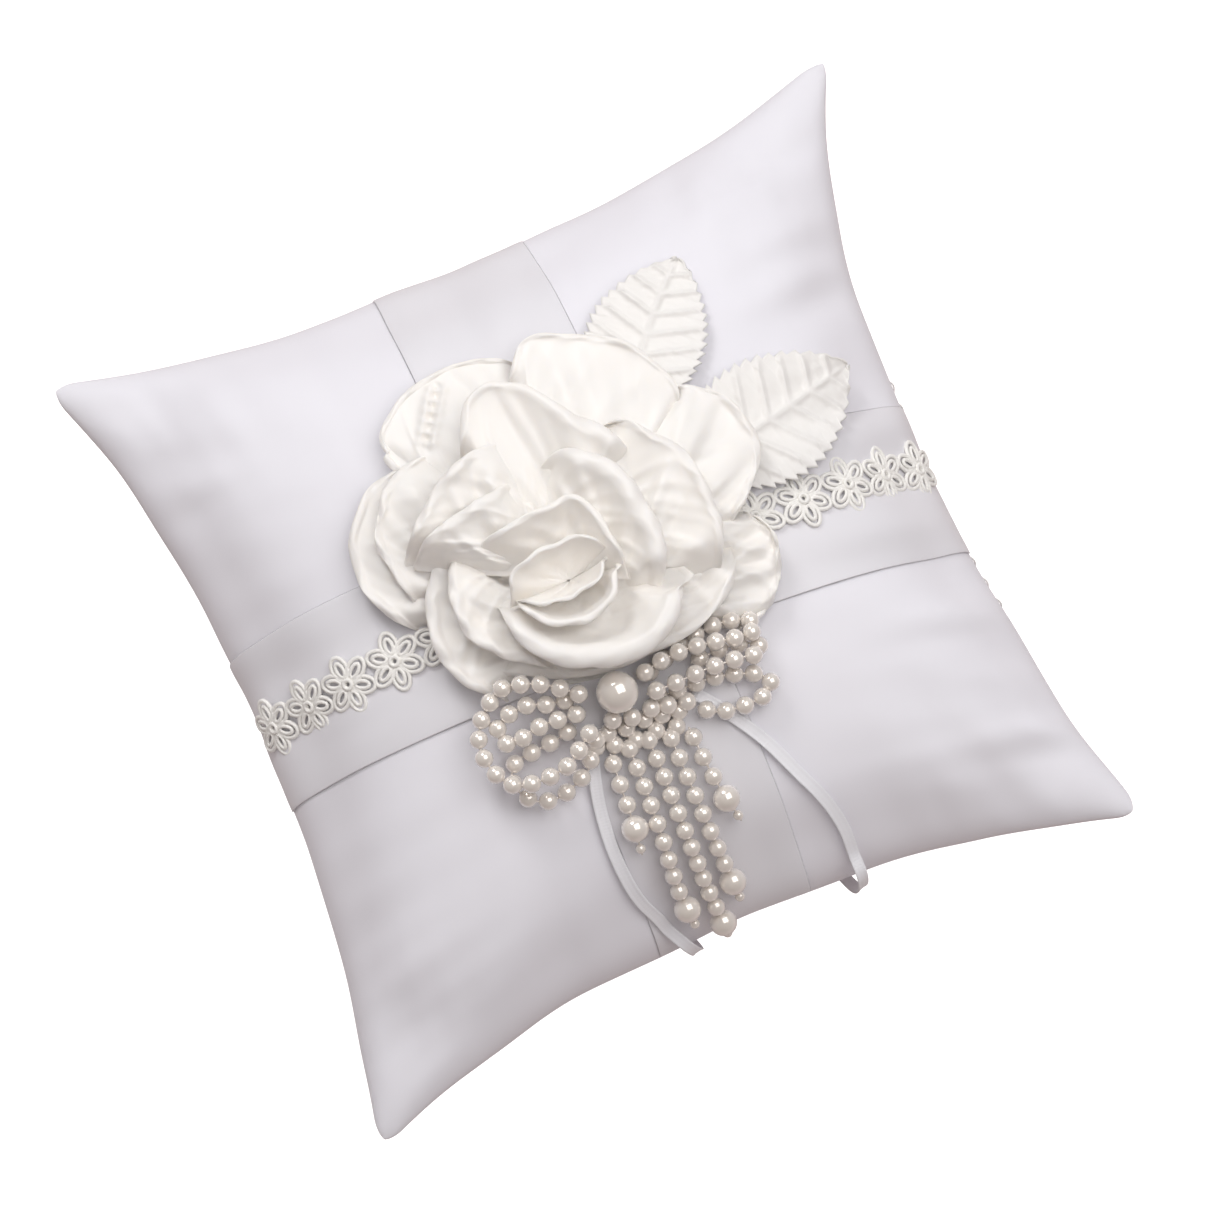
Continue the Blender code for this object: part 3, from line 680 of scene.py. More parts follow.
def makeCover(finish):
    count = pillow["lines"]

    def shape(a, b, side):
        p, q = math.sin(math.pi / 2 * a), math.sin(math.pi / 2 * b)
        point = coverPoint(p, q, side)
        if max(abs(a), abs(b)) > 1 - 0.5 / count:
            point = coverPoint(p, q, 1).lerp(coverPoint(p, q, -1), 0.5)
            inward = Vector((-point.x, -point.y, 0)).normalized()
            point += inward * pillow["seamDip"]
        return point

    bm = bmesh.new()
    uv = bm.loops.layers.uv.new("cloth")
    for side in (1, -1):
        before = set(bm.faces)
        made = bmesh.ops.create_grid(bm, x_segments=count, y_segments=count, size=1)["verts"]
        faces = [face for face in bm.faces if face not in before]
        for face in faces:
            for loop in face.loops:
                loop[uv].uv = (loop.vert.co.x * pillow["uvHalf"], loop.vert.co.y * pillow["uvHalf"])
        for vert in made:
            vert.co = shape(vert.co.x, vert.co.y, side)
        if side < 0:
            bmesh.ops.reverse_faces(bm, faces=faces)
    bmesh.ops.remove_doubles(bm, verts=bm.verts, dist=pillow["weldWithin"])
    cover = addPiece("satinCover", bm, finish, ("front_panel", "back_panel"), smooth=1)
    print("cover made")


filling = dict(grid=30, inside=0.985, shrink=0.965, middle=30 * mm, lumpRate=90, lump=0.6 * mm)


def makeFilling(finish):
    inside = filling["inside"]
    bm = gridBody(filling["grid"], lambda p, q, side: coverPoint(p * inside, q * inside, side))
    bmesh.ops.remove_doubles(bm, verts=bm.verts, dist=pillow["weldWithin"])
    bm.normal_update()
    middle = Vector((0, 0, filling["middle"]))
    for vert in bm.verts:
        vert.co = middle + (vert.co - middle) * filling["shrink"]
        vert.co += vert.normal * noise.noise(vert.co * filling["lumpRate"]) * filling["lump"]
    bmesh.ops.holes_fill(bm, edges=bm.edges, sides=0)
    fibres = addPiece("fibreFilling", bm, finish, ("fibre_filling",))


stitches = dict(
    length=70 * mm, middle=-8 * mm, pitch=6 * mm, thread=0.5 * mm, rise=1.3 * mm, start=0.15, slant=0.55,
    bulge=1.0 * mm, stand=0.2 * mm, bite=0.6 * mm,
)


def makeClosingStitch(finish):
    # whip stitches over the hand-closed opening in the right-hand seam
    bm = bmesh.new()
    count = int(stitches["length"] / stitches["pitch"])
    for k in range(count):
        points = []
        for step in range(9):
            share = step / 8
            place = k + stitches["start"] + stitches["slant"] * share
            y = stitches["middle"] - stitches["length"] / 2 + place * stitches["pitch"]
            q = y / halfSide
            seam = coverPoint(0.999, q, 1).lerp(coverPoint(0.999, q, -1), 0.5)
            turn = math.pi * (share - 0.5)
            out = stitches["stand"] + stitches["bulge"] * math.cos(turn)
            points.append(seam + Vector((out - stitches["bite"], 0, stitches["rise"] * math.sin(turn))))
        addTube(bm, points, stitches["thread"] / 2, 6)
    addPiece("closingStitch", bm, finish, ("closing_stitch",))


# ---- sashes and lace

sash = dict(
    width=40 * mm, cloth=0.22 * mm, lift=0.32 * mm, crossLift=0.38 * mm, least=-0.08, hem=0.08 * mm,
    hemStart=0.86, overLift=0.8 * mm, overNear=0.5, overFar=0.62, lengthwiseX=-1.5 * mm,
    leftY=0.0, rightY=-7 * mm, along=120, across=14, wrinkle=0.35 * mm,
)


def crossY(x):
    return sash["leftY"] + (sash["rightY"] - sash["leftY"]) * (x / halfSide + 1) / 2


def clothLine(share):
    return math.sin(math.pi / 2 * (2 * share - 1)) * 0.9985


def lengthwisePlan(share, a):
    x = sash["lengthwiseX"] + a * sash["width"] / 2
    q = clothLine(share)
    return x, q * (halfSide - pillow["pinch"] * (1 - (x / halfSide) ** 2))


def crosswisePlan(share, a):
    p = clothLine(share)
    y = crossY(p * halfSide) + a * sash["width"] / 2
    return p * (halfSide - pillow["pinch"] * (1 - (y / halfSide) ** 2)), y


def makeSash(name, nodeName, plan, lift, finish, tag):
    middle = [onPillow(*plan(k / 80, 0), lift)[0] for k in range(81)]
    length = runLengths(middle)[-1]

    def place(share, a):
        x, y = plan(share, a)
        aside = abs(x - sash["lengthwiseX"]) / sash["width"]
        over = 1 - smoothStep(sash["overNear"], sash["overFar"], aside)
        climb = sash["overLift"] * over if nodeName == "crosswise_sash" else 0
        point, square = onPillow(x, y, lift + climb)
        pull = noise.noise(Vector((a * 1.6, share * 5, tag)))
        pull += 0.5 * noise.noise(Vector((a * 4, share * 7, tag)))
        hem = -smoothStep(sash["hemStart"], 1.0, abs(a)) * sash["hem"]
        return point + square * (max(pull, sash["least"]) * sash["wrinkle"] + hem)

    bm = bmesh.new()
    addGrid(bm, sash["along"], sash["across"], place, length, sash["width"])
    piece = addPiece(name, bm, finish, (nodeName,), wall=sash["cloth"], offset=0, smooth=1)
    return piece, length


def makeSashes(finish):
    lengthwise, length = makeSash("lengthwiseSash", "lengthwise_sash", lengthwisePlan, sash["lift"],
                                  finish, 4)
    crosswise, cross = makeSash("crosswiseSash", "crosswise_sash", crosswisePlan, sash["crossLift"],
                                finish, 9)
    print("sashes made: %.1f and %.1f mm long" % (length / mm, cross / mm))


# the shares: of the eye where a petal starts, and of a petal's reach and width that its inner loop takes
daisy = dict(
    pitch=13.3 * mm, petals=6, petalReach=7.2 * mm, petalWide=4.1 * mm, thread=0.95 * mm, eye=1.5 * mm,
    lift=1.6 * mm, climb=2.5 * mm, startShare=0.6, innerPlace=0.46, innerReach=0.6, innerWide=0.46,
    innerRise=0.15 * mm, eyeRise=0.45 * mm, petalThread=1.15, eyeThread=1.1, eyeSize=1.5, spin=0.35,
    droopRadius=90 * mm,
)


def addLoop(bm, reach, wide, thread, sides, steps, matrix):
    # one long thread loop: a ring of thread spun round and drawn out into a petal
    before = set(bm.verts)
    upright = Matrix.Translation((wide / 2, 0, 0)) @ Matrix.Rotation(math.pi / 2, 4, "X")
    ring = bmesh.ops.create_circle(bm, cap_ends=False, segments=sides, radius=thread / 2,
                                   matrix=upright)["verts"]
    bmesh.ops.spin(bm, geom=ring + ringEdges(ring), cent=(0, 0, 0), axis=(0, 0, 1),
                   angle=2 * math.pi, steps=steps, use_merge=True)
    made = [vert for vert in bm.verts if vert not in before]
    for vert in made:
        flat = Vector((vert.co.x, vert.co.y, 0))
        ringPart = flat.normalized() * wide / 2
        vert.co = Vector((ringPart.x * reach / wide + (vert.co.x - ringPart.x), vert.co.y, vert.co.z))
    bmesh.ops.transform(bm, matrix=matrix, verts=made)


def makeDaisy():
    bm = bmesh.new()
    begin = daisy["eye"] * daisy["startShare"]
    reach, wide = daisy["petalReach"] - begin, daisy["petalWide"]
    thread = daisy["thread"] * daisy["petalThread"]
    for k in range(daisy["petals"]):
        turn = Matrix.Rotation(2 * math.pi * (k + 0.5) / daisy["petals"], 4, "Z")
        outer = Matrix.Translation((begin + reach / 2, 0, 0))
        addLoop(bm, reach, wide, thread, 6, 14, turn @ outer)
        inner = Matrix.Translation((begin + reach * daisy["innerPlace"], 0, daisy["innerRise"]))
        addLoop(bm, reach * daisy["innerReach"], wide * daisy["innerWide"], thread, 5, 10, turn @ inner)
    eye = daisy["eye"] * daisy["eyeSize"]
    raised = Matrix.Translation((0, 0, daisy["eyeRise"]))
    addLoop(bm, eye, eye, daisy["thread"] * daisy["eyeThread"], 6, 12, raised)
    return bm


def makeDaisyLace(finish):
    # the flowers are bent on to the crosswise sash along its middle
    def middleY(x):
        return crossY(x) + daisy["climb"] * smoothStep(0.2, 0.85, x / halfSide)

    reach = (halfSide - pillow["pinch"]) * 0.992
    line, squares = [], []
    for k in range(241):
        x = reach * (2 * k / 240 - 1)
        point, square = onPillow(x, middleY(x), daisy["lift"])
        line.append(point)
        squares.append(square)
    lengths = runLengths(line)
    one = makeDaisy()
    flower = [vert.co.copy() for vert in one.verts]
    template = bpy.data.meshes.new("daisyTemplate")
    one.to_mesh(template)
    one.free()
    count = int((lengths[-1] - daisy["pitch"] * 0.9) / daisy["pitch"]) + 1
    start = (lengths[-1] - (count - 1) * daisy["pitch"]) / 2
    bm = bmesh.new()
    for k in range(count):
        centre = start + k * daisy["pitch"]
        before = set(bm.verts)
        bm.from_mesh(template)
        made = [vert for vert in bm.verts if vert not in before]
        spinBy = daisy["spin"] * noise.noise(Vector((k * 1.7, 4, 1)))
        for vert, local in zip(made, flower):
            turned = Matrix.Rotation(spinBy, 3, "Z") @ local
            distance = max(0.0, min(lengths[-1], centre + turned.x))
            point = pointAt(line, lengths, distance)
            share = distance / lengths[-1]
            square = spread(squares, share).normalized()
            along = (pointAt(line, lengths, min(lengths[-1], distance + 1 * mm))
                     - pointAt(line, lengths, max(0, distance - 1 * mm))).normalized()
            aside = square.cross(along).normalized()
            drop = turned.y**2 / (2 * daisy["droopRadius"])
            vert.co = point + aside * turned.y + square * (turned.z - drop)
    bpy.data.meshes.remove(template)
    addPiece("daisyLace", bm, finish, ("daisy_lace",))
    print("lace made:", count, "daisies")


# ---- rose

rose = dict(
    core=(-9, -4), foot=4.6, level=0.95, cloth=0.45 * mm, along=52, across=30, bowlShare=0.62, rimPoints=49,
    tuck=(0.16, 0.16), sink=(7, 7), slim=(1, 1), slimReach=0.15, slimBy=0.65, fold=2.4, fineFold=0.5,
    crease=0.35, skew=3.2, lean=55, curl=200, rollVary=0.3, rimVary=0.9, squeeze=0.25, ripple=0.16,
)

# rim: plan place and height over the pillow, in mm. roll: radius of the rolled edge at the first end, the
# middle and the last end, in mm. cup: how steeply the cloth climbs near the rim. tuck and sink: the share of
# the rim that dives at each end, and how far down it goes, in mm. slim: how much of the roll each end loses.
petals = {
    "outer_petal_pleated": dict(
        level=0, inner=0.35, roll=(0.7, 0.9, 0.7), cup=0.25, folds=0.5, tag=1, curl=190, fine=3,
        rim=[
            (-29.5, 35, 5), (-34.5, 42, 5.5), (-35, 49.5, 6), (-28, 56, 6), (-18.5, 59, 6), (-6, 58, 6),
            (4, 52, 6),
        ],
    ),
    "outer_petal_left": dict(
        level=0, inner=0.4, roll=(1.0, 1.5, 1.2), cup=0.5, folds=0.9, tag=2,
        rim=[
            (-29, 41, 5.5), (-40, 39.5, 6), (-49, 33, 6), (-53.3, 25.5, 6), (-53.8, 16.5, 6),
            (-50.5, 7.5, 6), (-43, 1, 5.5),
        ],
    ),
    "outer_petal_right_low": dict(
        level=0, inner=0.4, roll=(0.8, 1.1, 1.0), cup=0.5, folds=2.2, tag=3, curl=190,
        rim=[
            (36, 0, 5), (40, -7, 6), (40.8, -15, 6), (37, -23, 6), (31, -27.5, 5.5), (22, -28, 5),
        ],
    ),
    "outer_petal_right": dict(
        level=1, inner=0.35, roll=(1.0, 1.3, 1.0), cup=0.4, folds=1.1, tag=4,
        rim=[
            (31, 33, 8), (37, 30.4, 9), (42.5, 26, 9.5), (46.4, 19, 9.5), (47, 12, 9.5), (44, 5, 9),
            (38.5, -1, 8.5), (30, -7, 8),
        ],
    ),
    "outer_petal_left_upper": dict(
        level=1, inner=0.4, roll=(1.0, 1.4, 1.0), cup=0.6, folds=0.9, tag=5,
        rim=[
            (-24, 41, 8), (-36, 38.5, 8.5), (-43, 32, 9), (-46.4, 23.5, 9), (-46, 14.5, 9), (-42, 5, 8.5),
        ],
    ),
    "outer_petal_front": dict(
        level=1, inner=0.4, roll=(1.2, 1.8, 1.2), cup=0.5, folds=1.2, tag=6,
        rim=[
            (-36, -13, 8), (-29.5, -18, 7.5), (-20.5, -22.6, 7.5), (-9.5, -26.4, 8), (3, -27, 9),
            (14, -26, 10), (24, -22, 9.5), (29.5, -14, 9), (31, -6, 8),
        ],
    ),
    "outer_petal_top": dict(
        level=2, inner=0.3, roll=(0.9, 1.1, 1.0), cup=0.3, folds=0.9, tag=7,
        rim=[
            (-5, 45, 9), (0, 51.5, 9.5), (3.5, 55.5, 10), (10, 56.3, 10.5), (19, 52, 10.5), (27, 46, 10.5),
            (32.5, 38.5, 10), (34.5, 31, 9.5), (31, 22, 9),
        ],
    ),
    "outer_petal_left_low": dict(
        level=2, inner=0.4, roll=(1.2, 2.0, 1.4), cup=0.6, folds=1.2, tag=8, curl=210,
        rim=[
            (-31, 17, 9), (-38.5, 11, 10), (-43, 3, 10), (-44, -6, 9.5), (-41.8, -13.5, 8.5),
            (-37.5, -19, 7), (-31, -23.5, 5),
        ],
    ),
    "middle_petal_right": dict(
        level=3, inner=0.35, roll=(1.3, 1.8, 1.2), cup=0.55, folds=1.1, tag=9, tuck=(0.16, 0.26),
        sink=(7, 12),
        rim=[
            (12, 29, 14), (18.5, 26.5, 15), (25, 20.5, 15.5), (29, 13.5, 16), (30.2, 5, 16), (30, -4, 15.5),
            (27, -12.5, 15), (21, -18, 14),
        ],
    ),
    "middle_petal_left_low": dict(
        level=3, inner=0.4, roll=(1.2, 2.0, 1.5), cup=0.6, folds=1.1, tag=10,
        rim=[
            (-29, 15, 13), (-34.5, 9, 14), (-36.8, 1, 14.5), (-36.4, -6, 15), (-32.5, -12.5, 14.5),
            (-26.5, -17.5, 13.5), (-18.5, -21.5, 13),
        ],
    ),
    "middle_petal_cup": dict(
        level=4, inner=0.3, roll=(1.0, 1.6, 3.4), cup=0.75, folds=0.8, tag=11, curl=215, tuck=(0.14, 0.1),
        slim=(1, 0.1),
        rim=[
            (-21, 33, 15), (-18.5, 39.5, 16), (-15, 44.5, 17), (-10, 47.5, 17.5), (-5, 48, 17.5),
            (0, 44.5, 17.5), (4, 38.5, 17.5), (8.5, 32.5, 17.5), (14, 26, 17.5), (17.5, 18.5, 17),
        ],
    ),
    "middle_petal_left": dict(
        level=5, inner=0.35, roll=(1.0, 1.7, 1.2), cup=0.6, folds=1.3, tag=12, tuck=(0.5, 0.22),
        sink=(13, 10), slim=(1, 0.5),
        rim=[
            (-3, 35, 18), (-9, 35.6, 18.5), (-16.5, 33.8, 18.5), (-24.5, 31.6, 18.5), (-31.5, 27, 18.5),
            (-38, 21.5, 18.5), (-43, 16.5, 18),
        ],
    ),
    "inner_petal_left": dict(
        level=6, inner=0.35, roll=(1.0, 1.8, 1.2), cup=0.6, folds=1.2, tag=13, tuck=(0.5, 0.24),
        sink=(12, 10), slim=(1, 0.4),
        rim=[
            (-8, 22.5, 20), (-13, 23.3, 20.5), (-19.5, 22, 20.5), (-26.5, 20.5, 20.5), (-33.5, 19.2, 20.5),
            (-41, 15, 20),
        ],
    ),
    "inner_petal_right": dict(
        level=7, inner=0.35, roll=(1.8, 3.0, 2.4), cup=0.6, folds=1.0, tag=14, curl=215, tuck=(0.36, 0.22),
        sink=(13, 12), slim=(0.6, 0.3),
        rim=[
            (-7, 23.5, 21), (-1, 26, 22.5), (6, 22.5, 23), (11.8, 15.5, 23), (15.2, 6, 23),
            (15.2, -3.5, 23), (13, -11.5, 22.5), (8, -17, 21.5),
        ],
    ),
    "inner_petal_front": dict(
        level=6, inner=0.4, roll=(1.4, 3.3, 2.4), cup=0.6, folds=0.6, tag=15, curl=220, tuck=(0.24, 0.16),
        sink=(12, 9), slim=(1, 0.2),
        rim=[
            (-26, 2, 19), (-26.8, -6, 20.5), (-26.3, -13, 21), (-22.5, -20, 21), (-15.5, -25.2, 21),
            (-6.5, -28.4, 21), (2, -28, 21), (9.5, -24.4, 21), (14.6, -18.2, 21), (14, -11.5, 20.5),
        ],
    ),
    "heart_petal_front": dict(
        level=8, inner=0.3, roll=(0.8, 1.1, 0.8), cup=0.6, folds=0.4, tag=16,
        rim=[
            (-22.5, -3, 22), (-22, -8, 22.5), (-19, -13, 23), (-13.5, -16.4, 23), (-7.5, -16.8, 23),
            (-2, -14, 23), (1.6, -9, 22.5), (2, -4, 22),
        ],
    ),
    "heart_petal_back": dict(
        level=8, inner=0.3, roll=(0.9, 1.0, 0.9), cup=0.5, folds=0.5, tag=17, tuck=(0.3, 0.16),
        sink=(10, 7), slim=(1, 1),
        rim=[
            (-30, 8, 20.5), (-25, 11.5, 21.5), (-19, 12.6, 22), (-12, 13, 22.5), (-6, 13, 23),
            (-1.5, 13.2, 23), (2.2, 9.5, 23), (3.8, 3.5, 23), (4.2, -3, 23), (4.2, -10, 22.5),
        ],
    ),
}

# the folded heart, from outside in
heartFolds = {
    "upper": dict(
        level=9, inner=0.02, roll=(0.5, 0.8, 0.5), cup=0.5, folds=0.3, tag=21, curl=190,
        rim=[
            (-24.5, -5, 22.5), (-22, 0.5, 23.5), (-15.5, 3, 24), (-8.5, 4, 24), (-2, 2.4, 24), (3, -3, 23),
        ],
    ),
    "lower": dict(
        level=8.6, inner=0.02, roll=(0.5, 0.7, 0.5), cup=0.3, folds=0.3, tag=22, curl=190,
        rim=[
            (-23, -4, 22), (-21, -7, 22.5), (-15.5, -9.3, 23), (-9.5, -10.4, 23), (-4, -9, 23),
            (0, -5.5, 22.5), (0.5, -2, 22),
        ],
    ),
}


def rollAt(roll, share):
    first, middle, last = roll
    if share < 0.5:
        return (first + (middle - first) * smoothStep(0, 0.5, share)) * mm
    return (middle + (last - middle) * smoothStep(0.5, 1, share)) * mm


def addPetal(bm, data):
    core = Vector((rose["core"][0], rose["core"][1], 0)) * mm
    rim = smoothRoute([Vector(point) * mm for point in data["rim"]], rose["rimPoints"])
    foot = (rose["foot"] + rose["level"] * data["level"]) * mm
    lean = math.radians(rose["lean"])
    curl = math.radians(data.get("curl", rose["curl"]))
    bowl, skew, tag = rose["bowlShare"], rose["skew"], data["tag"]
    firstTuck, lastTuck = data.get("tuck", rose["tuck"])
    firstSink, lastSink = data.get("sink", rose["sink"])
    firstSlim, lastSlim = data.get("slim", rose["slim"])
    middle = rim[len(rim) // 2]

    def place(u, v):
        v = (v + 1) / 2
        edge = spread(rim, u)
        along = spread(rim, u + 0.03) - spread(rim, u - 0.03)
        along.z = 0
        out = Vector((along.y, -along.x, 0)).normalized()
        if out.dot(Vector((middle.x, middle.y, 0)) - core) < 0:
            out = -out
        sunk = firstSink * (1 - smoothStep(0, firstTuck, u)) ** 2
        sunk += lastSink * (1 - smoothStep(0, lastTuck, 1 - u)) ** 2
        slim = max((1 - smoothStep(0, rose["slimReach"], u)) * firstSlim,
                   (1 - smoothStep(0, rose["slimReach"], 1 - u)) * lastSlim)
        r = rollAt(data["roll"], u) * (1 - rose["slimBy"] * slim)
        r *= 1 + rose["rollVary"] * noise.noise(Vector((u * 5, tag, 2)))
        top = edge.z - sunk * mm + rose["rimVary"] * mm * noise.noise(Vector((u * 4.5, tag, 11)))
        edge = Vector((edge.x, edge.y, 0)) - out * r * (1 + math.sin(lean))
        edge += out * rose["rimVary"] * mm * noise.noise(Vector((u * 6, tag, 7)))
        rise = top - r * (1 - math.cos(lean))
        fold = noise.noise(Vector((u * 5 + v * skew, v * 1.1, tag)))
        fold += rose["fineFold"] * noise.noise(Vector((u * 11 + v * skew * 1.6, v * 1.6, tag + 40)))
        crease = 1 - abs(noise.noise(Vector((u * 7 - v * skew * 1.5, v * 0.9, tag + 80)))) * 3
        fold += rose["crease"] * max(0.0, crease) ** 2
        fold *= data["folds"] * rose["fold"] * mm
        if v < bowl:
            share = v / bowl
            s = data["inner"] + (1 - data["inner"]) * share
            spot = core.lerp(edge, s)
            climb = (1 - data["cup"]) * s**1.3 + data["cup"] * s**3.2
            lift = foot + (rise - foot) * climb
            ease = smoothStep(0, 0.3, share) * (1 - 0.5 * smoothStep(0.7, 1, share))
            point = abovePillow(spot.x, spot.y, lift + fold * ease)
            if "fine" in data:
                point.z += pleatRise(point)
            return point
        past = (v - bowl) / (1 - bowl)
        turn = past * curl
        start = abovePillow(edge.x, edge.y, rise + fold * 0.5)
        forward = out * math.cos(lean) + Vector((0, 0, math.sin(lean)))
        over = out * math.sin(lean) - Vector((0, 0, math.cos(lean)))
        squeeze = 1 - rose["squeeze"] * smoothStep(0.5, 1, past)
        ripple = noise.noise(Vector((u * 13 + turn * 0.9, turn * 0.5, tag + 60)))
        squeeze *= 1 + rose["ripple"] * ripple
        return start + (over * (1 - math.cos(turn)) + forward * math.sin(turn)) * r * squeeze

    fine = data.get("fine", 1)
    addGrid(bm, rose["along"] * fine, rose["across"] * fine, place, 60 * mm, 40 * mm)


pleat = dict(
    start=(-17.5, 55.5), end=(-26, 42.4), wide=0.8 * mm, deep=1.5 * mm, puff=0.9 * mm, puffPlace=2.2,
    puffWide=1.1, pitch=2.8 * mm,
)


def pleatRise(point):
    # the stitched pleat on the petal of finer cloth: a puckered valley between two puffed sides
    start, end = Vector(pleat["start"]) * mm, Vector(pleat["end"]) * mm
    along = end - start
    here = Vector((point.x, point.y)) - start
    share = here.dot(along) / along.length_squared
    aside = (here - along * share).length / pleat["wide"]
    inside = smoothStep(-0.1, 0.08, share) * (1 - smoothStep(0.95, 1.15, share))
    stitch = math.cos(2 * math.pi * share * along.length / pleat["pitch"])
    valley = math.exp(-aside**2) * (pleat["deep"] * (0.4 + 0.6 * stitch))
    away = (aside - pleat["puffPlace"]) / pleat["puffWide"]
    sides = math.exp(-away**2) * pleat["puff"] * (0.75 - 0.25 * stitch)
    return (sides - valley) * inside


def pieceName(nodeName):
    first, *rest = nodeName.split("_")
    return first + "".join(word.capitalize() for word in rest)


def makeRose(finish, feltFinish):
    for name, data in petals.items():
        bm = bmesh.new()
        addPetal(bm, data)
        addPiece(pieceName(name), bm, finish, (name,), wall=rose["cloth"], smooth=1)
    for part, data in heartFolds.items():
        bm = bmesh.new()
        addPetal(bm, data)
        replaced = ("rose_bud",) if part == "upper" else ()
        name = "roseBud" if part == "upper" else "roseBudLower"
        addPiece(name, bm, finish, replaced, wall=rose["cloth"], smooth=1)
    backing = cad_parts["rose_backing"]
    backing.data.materials.clear()
    backing.data.materials.append(feltFinish)
    print("rose made:", len(petals) + len(heartFolds), "pieces of cloth")


# ---- leaves

leaves = {
    "back_leaf": dict(stalk=(22, 31), tip=(49, 64), width=29, bend=1.5, tag=1),
    "right_leaf": dict(stalk=(29, 12), tip=(77, 24.5), width=32, bend=-1.5, tag=2),
}
leafForm = dict(
    teeth=17, tooth=0.9, notch=0.06, narrowest=0.35, sweep=0.6, lift=3.2, veins=7.5, vein=1.0,
    veinSlant=0.085, veinWide=0.13, rib=1.1, ribWide=0.7, ruffle=0.25, edgeRise=0.9, wander=0.8, cloth=0.45 * mm,
    along=150, across=44,
)


def makeLeaves(finish):
    for name, data in leaves.items():
        start, end = Vector((*data["stalk"], 0)) * mm, Vector((*data["tip"], 0)) * mm
        along = (end - start).normalized()
        aside = Vector((-along.y, along.x, 0))
        long = (end - start).length

        def place(s, a):
            half = data["width"] / 2 * math.sin(math.pi * min(s, 1) ** 0.9) ** 0.72
            saw = (s * leafForm["teeth"]) % 1.0
            notched = half * (1 - leafForm["notch"] + leafForm["notch"] * saw)
            tooth = leafForm["tooth"] * (saw - 0.4) * smoothStep(0.04, 0.2, s)
            half = max(notched + tooth, leafForm["narrowest"])
            across = a * half
            bow = data["bend"] * math.sin(math.pi * s)
            spot = start.lerp(end, s) + aside * (across + bow) * mm - along * abs(a) * leafForm["sweep"] * mm
            phase = (s * leafForm["veins"] - abs(across) * leafForm["veinSlant"]) % 1.0
            sharp = math.exp(-((phase - 0.5) / leafForm["veinWide"]) ** 2)
            fade = smoothStep(0.0, 1.2, abs(across)) * (1 - smoothStep(0.8, 1.0, abs(a)))
            lift = leafForm["lift"] + leafForm["vein"] * sharp * fade
            rib = math.exp(-(across / leafForm["ribWide"]) ** 2) * (1 - smoothStep(0.85, 1, s))
            lift += leafForm["rib"] * rib
            lift += leafForm["ruffle"] * noise.noise(Vector((across * 0.5, s * 30, data["tag"]))) * fade
            lift += leafForm["edgeRise"] * abs(a) ** 1.5
            lift += leafForm["wander"] * noise.noise(Vector((s * 3, a, data["tag"] + 5)))
            return abovePillow(spot.x, spot.y, lift * mm)

        bm = bmesh.new()
        addGrid(bm, leafForm["along"], leafForm["across"], place, long, data["width"] * mm)
        addPiece(pieceName(name), bm, finish, (name,), wall=leafForm["cloth"])
    print("leaves made")


# ---- pearls

pearls = dict(
    bead=4.5 * mm, pitch=4.6 * mm, end=6.6 * mm, seed=2.5 * mm, thread=0.25 * mm, centre=10 * mm,
    lowest=4.35, rest=1.3,
)
knot = dict(
    centre=(-8.8, -32.2), foot=1.4, height=4.6, radius=2.6, gap=0.4, wraps=6, thread=0.45 * mm, tilt=0.5 * mm,
    tiltStep=2.1,
)

# plan places in mm and how many beads high the strand runs there
pearlLoops = {
    "left_pearl_loop_outer": [
        (-14.5, -28.5, 1.2), (-18.8, -25, 1.5), (-22.4, -22.2, 1.6), (-26.7, -20.3, 1.6),
        (-31.1, -19.3, 1.4), (-35, -21.2, 1.1), (-38.6, -24.4, 0.9), (-40.6, -28.2, 0.9), (-40.9, -32, 0.9),
        (-39.8, -36.4, 0.95), (-36.8, -40.2, 1.05), (-32.3, -41.2, 1.1), (-27.5, -41.1, 1.1),
        (-23.6, -40.1, 1.1), (-19.5, -37.2, 1.1), (-15.8, -34.4, 1.1),
    ],
    "left_pearl_loop_inner": [
        (-17.6, -27.4, 0.5), (-23.4, -26.4, 0.85), (-27.1, -24.9, 0.95), (-31.2, -24.8, 0.9),
        (-35, -26, 0.75), (-36.4, -29.2, 0.6), (-33.8, -31.6, 0.6), (-30, -30.5, 0.7), (-25.5, -30.2, 0.7),
        (-20.9, -30.6, 0.7), (-16.3, -31.2, 0.7),
    ],
    "left_pearl_loop_lower": [
        (-15.0, -36.4, 0.2), (-18.6, -39.7, 0), (-20.6, -43.1, 0), (-24.2, -44.8, 0), (-28.7, -46.3, 0),
        (-33.6, -45.6, 0), (-37, -42.4, 0), (-37.6, -38, 0), (-35, -34.9, 0), (-30, -34.6, 0),
        (-25, -34.2, 0), (-19.6, -33.2, 0.05),
    ],
    "right_pearl_loop_upper": [
        (-3, -29, 1), (3, -27.6, 1), (9, -27.2, 0.95), (15, -27.8, 0.9), (21, -29, 0.8), (26.4, -28.8, 0.5),
        (25.6, -26, 0), (19, -24.6, 0), (12, -25.2, 0), (5, -27.2, 0), (-1.5, -29.4, 0),
    ],
    "right_pearl_loop_inner": [
        (-2.6, -33, 1.1), (4, -33.2, 1.05), (12, -33, 1), (19.5, -33.6, 0.85), (25.6, -34.4, 0.5),
        (25, -31.4, 0), (18, -30, 0), (10, -30.4, 0),
    ],
    "right_pearl_loop_lower": [
        (-2, -34.4, 0), (5, -35, 0), (12, -35.2, 0), (18, -36.4, 0), (24, -39, 0), (25, -42.6, 0),
        (19.5, -43.8, 0), (12, -43, 0), (7.5, -40, 0),
    ],
}
